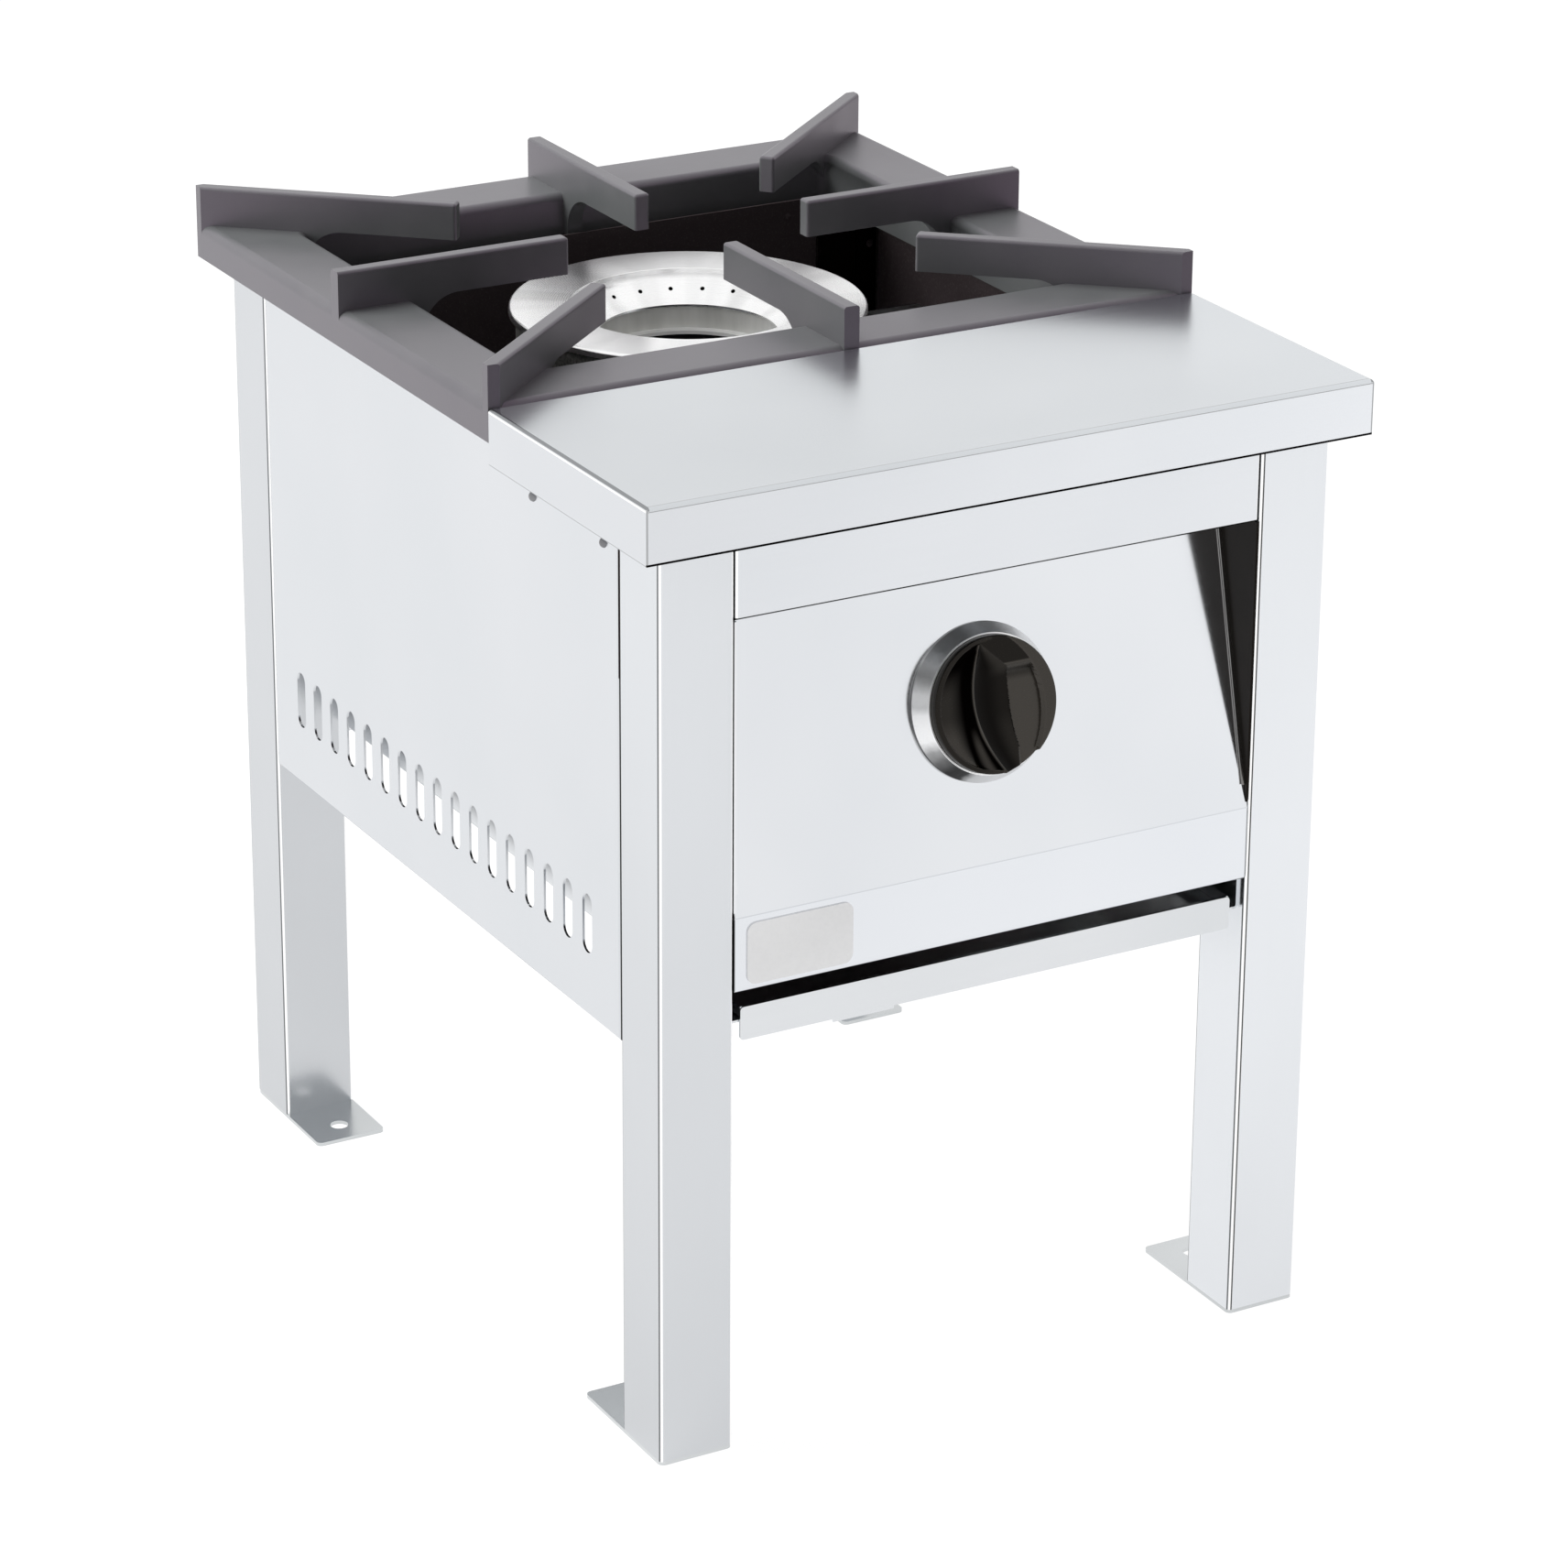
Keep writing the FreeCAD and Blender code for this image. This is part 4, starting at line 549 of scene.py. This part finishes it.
tree.links.new(colour, shader.inputs["Base Color"])
finish_nodes(finish, "control_panel")

# ---- cheeks beside the control panel ----
# A sheet closes the wedge between the leaning panel and each leg, dark on the right and
# bright on the left; the dark right one is painted shade. A narrow folded edge strip runs up
# each, the right one made dark as painted shade too.
# painted shade: the right cheek is made near-black
shaded_cheek_finish, tree, shader = new_finish("shaded_cheek", 0.34)
shader.inputs["Specular IOR Level"].default_value = 0.10
shader.inputs["Specular Tint"].default_value = (1.0, 0.80, 0.68, 1.0)
clouds = noise(tree, evenly(tree, 60.0), detail=3.0)
tree.links.new(
    mottled(tree, clouds, (0.0060, 0.0050, 0.0045), (0.0110, 0.0095, 0.0085)),
    shader.inputs["Base Color"],
)
finish_nodes(shaded_cheek_finish, "right_panel_cheek")
light_sheet = brushed_steel("cheek_steel", ALONG_Z, (0.78, 0.79, 0.81), (0.84, 0.85, 0.87))[0]
finish_nodes(light_sheet, "left_panel_cheek", "left_cheek_edge")
# painted shade: the right cheek's edge strip is made dark
shaded_edge_steel = brushed_steel("shaded_cheek_edge_steel", ALONG_Z, (0.20, 0.19, 0.18), (0.34, 0.33, 0.32))[0]
finish_nodes(shaded_edge_steel, "right_cheek_edge")

# ---- plate on the strip ----
# A small bare plate of satin aluminium with rounded corners. It is stuck on the left end
# of the upright strip.
plate_finish = brushed_steel(
    "satin_plate", (700.0, 700.0, 700.0), (0.70, 0.70, 0.705), (0.80, 0.80, 0.805), (0.35, 0.5)
)[0]
finish_nodes(plate_finish, "name_plate")

# ---- gas valve and gas line ----
# Brass tap and fittings, a zinc-plated rail from the inlet at the back, a thin copper
# pipe to the injector, and the thermocouple's copper lead.
def plain_metal(name, scale, dark, bright, roughness, depth, detail=4.0):
    """Unground metal, with stains or spangles of a given fineness."""
    finish, tree, shader = new_finish(name, roughness[0], metallic=1.0)
    stains = noise(tree, evenly(tree, scale), detail=detail)
    tree.links.new(mottled(tree, stains, dark, bright), shader.inputs["Base Color"])
    tree.links.new(spread(tree, stains, *roughness), shader.inputs["Roughness"])
    rough_surface(tree, shader, stains, depth)
    return finish


brass = plain_metal(
    "valve_brass", 160.0, (0.48, 0.31, 0.12), (0.74, 0.53, 0.24), (0.24, 0.42), 0.00002
)
finish_nodes(
    brass, "gas_valve", "gas_injector", "injector_holder", "gas_inlet_fitting",
    "inlet_locknut", "valve_nut", "valve_rotor",
)
zinc = plain_metal(
    "zinc_plate", 120.0, (0.42, 0.43, 0.44), (0.58, 0.59, 0.60), (0.30, 0.46), 0.00001, detail=3.0
)
finish_nodes(
    zinc, "gas_rail", "valve_bracket", "air_shutter", "front_burner_bar", "rear_burner_bar",
    "valve_spindle", "probe_clip",
)
copper = plain_metal(
    "copper_pipe", 90.0, (0.36, 0.16, 0.08), (0.70, 0.35, 0.22), (0.22, 0.44), 0.00001
)
finish_nodes(copper, "thermocouple", "burner_feed_pipe")

# ---- burner body ----
# A casting of grey iron: the round gas chamber, and the venturi tube that feeds it. The
# throat is turned smooth down to a lip. A bright band at the lip is a painted highlight, and the
# near-black below it is painted shade down the throat.
THROAT_RADIUS = 0.050
THROAT_SKIN = 0.0006
LIP_TOP = 0.4510
LIP_BAND = (0.0021, 0.0003)           # the bright lip reaches down and up from its top
LIP_GAP = 0.0001
LIP_HIGHLIGHT = (0.92, 0.92, 0.91)
THROAT_SHADE = (0.006, 0.006, 0.006)
burner_low, burner_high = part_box("burner_ring")
burner_centre = (burner_low + burner_high) / 2
cast, tree, shader = new_finish("cast_iron", 0.5, metallic=0.6)
grit = noise(tree, evenly(tree, 700.0), detail=4.0)
colour = mottled(tree, grit, (0.10, 0.098, 0.092), (0.30, 0.295, 0.285))
x, y, z = axes(tree)
radius = distance(tree, x, maths(tree, "SUBTRACT", y, burner_centre.y))
bored = within(tree, radius, 0.0, THROAT_RADIUS + THROAT_SKIN)
streaks = noise(tree, placed(tree, (60.0, 60.0, 12.0)), detail=3.0)
wall = mottled(tree, streaks, (0.62, 0.62, 0.60), (0.86, 0.86, 0.84))
above_lip = both(tree, bored, within(tree, z, LIP_TOP - LIP_GAP, FAR))
colour = covered(tree, colour, above_lip, wall)
down, up = LIP_BAND
# painted highlight: a bright band round the bore at the lip
lip_highlight = both(tree, bored, within(tree, z, LIP_TOP - down, LIP_TOP + up))
colour = covered(tree, colour, lip_highlight, LIP_HIGHLIGHT)
# painted shade: near-black down the throat below the lip
throat_shade = both(tree, bored, within(tree, z, 0.0, LIP_TOP - down - LIP_GAP))
colour = covered(tree, colour, throat_shade, THROAT_SHADE)
tree.links.new(colour, shader.inputs["Base Color"])
tree.links.new(
    maths(tree, "MAXIMUM", spread(tree, grit, 0.34, 0.5), maths(tree, "MULTIPLY", bored, 0.8)),
    shader.inputs["Roughness"],
)
as_cast = maths(tree, "SUBTRACT", 1.0, bored)
rough_surface(tree, shader, maths(tree, "MULTIPLY", grit, as_cast), 0.00012)
finish_nodes(cast, "burner_body", "mixing_tube")

# ---- burner ring ----
# Pressed from bright stainless sheet and polished on a lathe, so that fine rings run round it.
# The fans of light and dark across it are a painted reflection. Flame holes are drilled round
# its bowl.
LATHE_RING_SCALE = 260.0  # how close the turned rings lie
LATHE_RING_WAVER = 0.6
LIGHT_FAN_SCALE = 14.0    # about as many fans of painted reflection go round
LIGHT_FAN_DETAIL = 1.5
turned, tree, shader = new_finish("turned_steel", 0.14, metallic=1.0)
round_axis = placed(tree, (1.0, 1.0, 1.0), centre=burner_centre)
rings = tree.nodes.new("ShaderNodeTexWave")
rings.wave_type = "RINGS"
rings.rings_direction = "Z"
rings.inputs["Scale"].default_value = LATHE_RING_SCALE
rings.inputs["Distortion"].default_value = LATHE_RING_WAVER
tree.links.new(round_axis, rings.inputs["Vector"])
angle = tree.nodes.new("ShaderNodeTexGradient")
angle.gradient_type = "RADIAL"
tree.links.new(round_axis, angle.inputs["Vector"])
fan = tree.nodes.new("ShaderNodeTexNoise")
fan.noise_dimensions = "1D"
fan.inputs["Scale"].default_value = LIGHT_FAN_SCALE
fan.inputs["Detail"].default_value = LIGHT_FAN_DETAIL
tree.links.new(angle.outputs["Fac"], fan.inputs["W"])
# painted reflection: fans of light and dark round the axis, in the base colour
tree.links.new(
    blended(tree, fan.outputs["Fac"], (0.34, (0.80, 0.80, 0.80)), (0.54, (0.98, 0.98, 0.98))),
    shader.inputs["Base Color"],
)
tree.links.new(spread(tree, rings.outputs["Fac"], 0.25, 0.32), shader.inputs["Roughness"])
rough_surface(tree, shader, rings.outputs["Fac"], 0.0000008)
finish_nodes(turned, "burner_ring")

# ---- black lining ----
# Thin black-enamelled sheets line the well round the burner on all four sides and keep
# flame and spills off the cabinet.
lining, tree, shader = new_finish("black_enamel", 0.62)
shader.inputs["Specular IOR Level"].default_value = 0.02
speckle = noise(tree, evenly(tree, 900.0), detail=2.0)
tree.links.new(
    blended(tree, speckle, (0.55, (0.072, 0.057, 0.060)), (0.8, (0.115, 0.100, 0.098))),
    shader.inputs["Base Color"],
)
rough_surface(tree, shader, speckle, 0.00003)
finish_nodes(lining, "left_liner", "right_liner", "back_liner", "front_liner", "lining_rivets")

# ---- pan support ----
# A heavy frame of folded steel with eight welded fingers, dipped in grey enamel.
# The enamel is smooth with a slight orange-peel surface.
enamel, tree, shader = new_finish("grey_enamel", 0.36)
shader.inputs["IOR"].default_value = 1.62
shader.inputs["Specular Tint"].default_value = (1.0, 0.62, 1.0, 1.0)
clouds = noise(tree, evenly(tree, 25.0), detail=3.0)
peel = noise(tree, evenly(tree, 420.0), detail=2.0)
tree.links.new(
    mottled(tree, clouds, (0.112, 0.120, 0.120), (0.134, 0.140, 0.140)), shader.inputs["Base Color"]
)
tree.links.new(spread(tree, clouds, 0.34, 0.42), shader.inputs["Roughness"])
rough_surface(tree, shader, peel, 0.00002)
finish_nodes(enamel, "pan_support_frame", *[name for name in nodes if name.endswith("_finger")])

# ---- drip tray and runners ----
# A shallow stainless tray slides on two angles welded to the legs. Its deeper front lip
# serves as the pull.
tray_steel = brushed_steel("tray_steel", ALONG_X, (0.70, 0.72, 0.74), (0.74, 0.755, 0.775))[0]
finish_nodes(tray_steel, "drip_tray", "left_tray_runner", "right_tray_runner")

# ---- bezel ----
# A tapered ring of polished steel lies on the leaning panel round the knob. The fans of light
# and dark on its cone are a painted reflection, and the bright line on its rim a painted highlight.
RIM_HEIGHT = 0.0095
RIM_BAND = (0.0003, 0.001)            # the painted highlight on the rim reaches down and up from that height
FAN_START = 0.497
FAN_WAVER = 0.006
bezel_finish, tree, shader = new_finish("bezel_steel", 0.42, metallic=1.0)
u, w, rise = knob_axes(tree)
turned_angle = maths(tree, "MULTIPLY", maths(tree, "ARCTAN2", w, u), 1 / math.tau)
# noise that makes the edges of the painted fans waver
fan_jitter = noise(tree, evenly(tree, 260.0), detail=3.0)
turned_angle = maths(tree, "ADD", turned_angle, FAN_START)
turned_angle = maths(tree, "ADD", turned_angle, spread(tree, fan_jitter, 0.0, FAN_WAVER))
FANS = (                  # share of a turn from the left, through the foot; grey of the painted reflection
    (0.000, 1.00), (0.058, 1.00), (0.085, 0.42), (0.114, 0.17), (0.147, 0.03), (0.175, 0.03),
    (0.196, 0.62), (0.250, 0.80), (0.560, 0.82), (0.628, 1.00), (0.647, 1.00), (0.669, 0.80),
    (0.700, 0.82), (0.731, 0.74), (0.758, 0.64), (0.792, 0.36), (0.850, 0.36), (0.889, 0.98),
    (0.918, 0.60), (0.955, 1.00), (0.982, 0.72), (1.000, 1.00),
)
fans = blended(tree, turned_angle, *[(place, (grey, grey, grey)) for place, grey in FANS])
down, up = RIM_BAND
rim_highlight = within(tree, rise, RIM_HEIGHT - down, RIM_HEIGHT + up)
tree.links.new(covered(tree, fans, rim_highlight, WHITE), shader.inputs["Base Color"])
finish_nodes(bezel_finish, "knob_bezel")

# ---- knob ----
# Moulded in black-brown glossy plastic: a round face with a rim, a sharp curved grip fin
# and two sunk recesses, the right one open at its foot. A hub takes the valve's spindle.
KNOB_PLACE = Matrix.Translation(KNOB_CENTRE) @ Matrix.Rotation(KNOB_TURN, 4, "X")
FACE = 0.0145             # all heights are above the leaning panel
FACE_RADIUS = 0.0339
FACE_EDGE = 0.0007
EDGE_MIDDLE = FACE_EDGE * 0.3         # the rounded edge's middle, in from its corner
UNDERSIDE = 0.0050
HUB_RADIUS = 0.0070
HUB_END = 0.0010
SOCKET_RADIUS = 0.00405
SOCKET_TOP = 0.0097
SIDE_RING = 0.0040        # an edge round the side, this far under the face
RELIEF_DEPTH = 0.0030     # what lies this near to the face takes the relief
# painted light on the knob's side
SIDE_PAINTED_LIGHT = 0.35
MERGE_GAP = 0.000001
RINGS = 130
SEGMENTS = 340

# The relief is set out in mm, right of and above the knob's centre. Five borders cross the
# face from left to right, with the recesses and the fin's two flanks between them.
LEFT_EDGE_CENTRE = 0.9
LEFT_EDGE_RADIUS = 32.0
VALLEY_LINE = -15.6       # the left recess is deepest here
CREST_LINE = -13.2        # the fin's crest is farthest left here, at CREST_LEVEL
CREST_LEVEL = 5.0
FLANK_FOOT = 7.8          # the fin's right flank ends here
FLANK_CUT_LEVEL = 18.0    # and turns in above this level
RIGHT_EDGE_CENTRE = (-16.8, -2.9)
RIGHT_EDGE_RADIUS = 43.6
FIN_HEIGHT = 1.4
VALLEY_DEPTH = 2.6
RECESS_DEPTH = 3.4
FIN_END = (26.0, 31.0)    # the fin and the left recess run out between these levels
RAMP = (12.5, 19.3)       # the right recess rises to the face between these
NOTCH_LEFT = (10.4, 11.4)
NOTCH_RIGHT = (20.6, 21.4)
NOTCH_TOP = (21.5, 23.5)


def eased(value, start, end):
    """0 before the start, 1 after the end, smooth between."""
    t = min(max((value - start) / (end - start), 0.0), 1.0)
    return t * t * (3 - 2 * t)


def face_borders(w):
    """Left edge, valley, crest, foot of the right flank and right edge, at one level."""
    left = LEFT_EDGE_CENTRE - math.sqrt(max(LEFT_EDGE_RADIUS ** 2 - w * w, 0.0))
    valley = VALLEY_LINE + 0.0075 * min(w + 5.0, 0.0) ** 2 + 0.012 * max(w - 5.0, 0.0) ** 2
    crest = CREST_LINE + 0.010 * (w - CREST_LEVEL) ** 2
    foot = FLANK_FOOT + 0.0065 * min(w, 0.0) ** 2 - 1.05 * max(w - FLANK_CUT_LEVEL, 0.0)
    centre, level = RIGHT_EDGE_CENTRE
    right = centre + math.sqrt(RIGHT_EDGE_RADIUS ** 2 - (w - level) ** 2)
    return left, valley, crest, foot, right


def knob_relief(u, w):
    """Height above the face and painted light, at a place right of and above the knob's centre, in
    mm.
    """
    left, valley, crest, foot, right = face_borders(w)
    tip = eased(-w, -FIN_END[1], -FIN_END[0])
    ramp = eased(w, *RAMP)
    low_down = eased(-w, 2.0, 14.0)
    rim_painted_light = 0.36 + 0.32 * eased(u, -20.0, 24.0)
    if u < left:              # rim, lighter to the right, with a painted highlight along the left recess
        height = 0.0
        painted_light = rim_painted_light + 0.5 * (1 - eased(left - u, 0.0, 0.6)) * (0.3 + 0.7 * low_down)
    elif u < valley:          # left recess, hollowed towards its valley
        t = (u - left) / max(valley - left, 0.1)
        height = -(0.7 + 1.9 * t * t) * eased(u, left, left + 0.5) * tip
        painted_light = (0.42 + 0.38 * low_down) * eased(-w, -22.0, -6.0) * (1 - eased(t, 0.25, 0.95))
    elif u < crest:           # steep left flank of the fin
        t = (u - valley) / max(crest - valley, 0.1)
        bulge = 0.12 * min(max(-w / 8.0, -1.0), 2.5)
        climb = VALLEY_DEPTH + FIN_HEIGHT
        height = (-VALLEY_DEPTH + climb * (t + bulge * 2 * t * (1 - t))) * tip
        streak = eased(t, 0.05, 0.40) * (1 - eased(t, 0.45, 0.75))
        painted_light = 0.60 * eased(-w, 8.0, 20.0) * streak
    elif u < foot:            # long hollow right flank of the fin
        t = (u - crest) / max(foot - crest, 0.1)
        height = FIN_HEIGHT - 3.2 * t - 6.4 * t * (1 - t) * (1 - 0.3 * t)
        height *= tip * (1 - ramp * t * 0.6)
        painted_light = 0.08 + 0.40 * eased(t, 0.40, 0.90) * (0.30 + 0.70 * ramp + 0.3 * low_down)
    elif u < right:           # flat floor of the right recess
        fall = 1 - ramp
        height = (-RECESS_DEPTH + 0.8 * eased(-w, -2.0, 27.0)) * fall
        if fall > 0.02:
            height *= eased(u, foot - 0.1, foot + 0.4)
        painted_light = 1.0 - 0.72 * eased(w, 19.0, 19.8)
        painted_light -= 0.55 * eased(w, 9.0, 14.0) * eased(-w, -19.6, -18.0)
        painted_light += 0.30 * eased(w, 15.5, 17.5) * eased(-w, -19.6, -19.0)
        painted_light *= 1 - 0.95 * (1 - eased(u, foot + 0.3, foot + 1.0)) * eased(-w, -18.0, -12.0)
    else:                     # rim, with a painted highlight along the right recess
        height = 0.0
        painted_light = rim_painted_light + 0.25
        painted_light += 0.50 * (1 - eased(u - right, 0.3, 1.0))
    ridge = 1 - eased(abs(u - crest - 0.2), 0.1, 0.7 + 0.5 * low_down)
    if w < 30.5:              # painted highlight along the crest
        painted_light = max(painted_light, (1.15 - 0.35 * eased(-w, 12.0, 26.0)) * ridge)
    notch = eased(u, *NOTCH_LEFT) * (1 - eased(u, *NOTCH_RIGHT)) * eased(-w, *NOTCH_TOP)
    if notch > 0:             # the right recess opens through the rim at the knob's foot
        height = min(height, -VALLEY_DEPTH * notch)
        painted_light = max(painted_light, 0.95 * notch)
    return height, min(max(painted_light, 0.0), 1.2)


shape = bmesh.new()
outline = []
for i in range(RINGS + 1):
    outline.append(((FACE_RADIUS - FACE_EDGE) * i / RINGS, FACE))
outline += [
    (FACE_RADIUS - EDGE_MIDDLE, FACE - EDGE_MIDDLE), (FACE_RADIUS, FACE - FACE_EDGE),
    (FACE_RADIUS, FACE - SIDE_RING), (FACE_RADIUS, UNDERSIDE), (HUB_RADIUS, UNDERSIDE),
    (HUB_RADIUS, HUB_END), (SOCKET_RADIUS, HUB_END), (SOCKET_RADIUS, SOCKET_TOP), (0.0, SOCKET_TOP),
]
corners = [shape.verts.new((radius, 0.0, height)) for radius, height in outline]
edges = [shape.edges.new(pair) for pair in zip(corners, corners[1:])]
bmesh.ops.spin(
    shape, geom=corners + edges, axis=(0, 0, 1), cent=(0, 0, 0),
    steps=SEGMENTS, angle=math.tau, use_merge=True,
)
bmesh.ops.remove_doubles(shape, verts=shape.verts, dist=MERGE_GAP)
# per-vertex painted light and shade for the plastic
painted_light_layer = shape.verts.layers.float.new("painted_light")
for vert in shape.verts:
    place = vert.co
    reach = math.hypot(place.x, place.y)
    if place.z > FACE - RELIEF_DEPTH:
        inward = min(reach, FACE_RADIUS - FACE_EDGE) / max(reach, 1e-9)
        rise, painted_light = knob_relief(place.x * inward * 1000, place.y * inward * 1000)
        place.z += rise / 1000
        vert[painted_light_layer] = painted_light
    else:
        vert[painted_light_layer] = SIDE_PAINTED_LIGHT
bmesh.ops.recalc_face_normals(shape, faces=shape.faces)
bmesh.ops.transform(shape, matrix=KNOB_PLACE, verts=shape.verts)
for face in shape.faces:
    face.smooth = True
knob_mesh = bpy.data.meshes.new("sculpted_knob")
shape.to_mesh(knob_mesh)
shape.free()
knob = bpy.data.objects.new("sculpted_knob", knob_mesh)
scene.collection.objects.link(knob)
# painted light and shade: the per-vertex value from knob_relief darkens the plastic in hollows and
# on flanks and lightens it on edges and crests, in colour and in shine
plastic, tree, shader = new_finish("knob_plastic", 0.24)
shine = tree.nodes.new("ShaderNodeAttribute")
shine.attribute_name = "painted_light"
painted_light = shine.outputs["Fac"]
pores = noise(tree, evenly(tree, 1200.0), detail=2.0)
tree.links.new(
    blended(tree, painted_light, (0.0, (0.0030, 0.0022, 0.0020)), (1.0, (0.0260, 0.0195, 0.0130))),
    shader.inputs["Base Color"],
)
gleam = spread(tree, painted_light, 0.0, 0.60, 0.0, 1.0)
tree.links.new(gleam, shader.inputs["Specular IOR Level"])
shader.inputs["Specular Tint"].default_value = (1.0, 0.95, 0.88, 1.0)
tree.links.new(spread(tree, pores, 0.20, 0.28), shader.inputs["Roughness"])
knob_mesh.materials.append(plastic)
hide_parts("control_knob")
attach(knob, "knob")
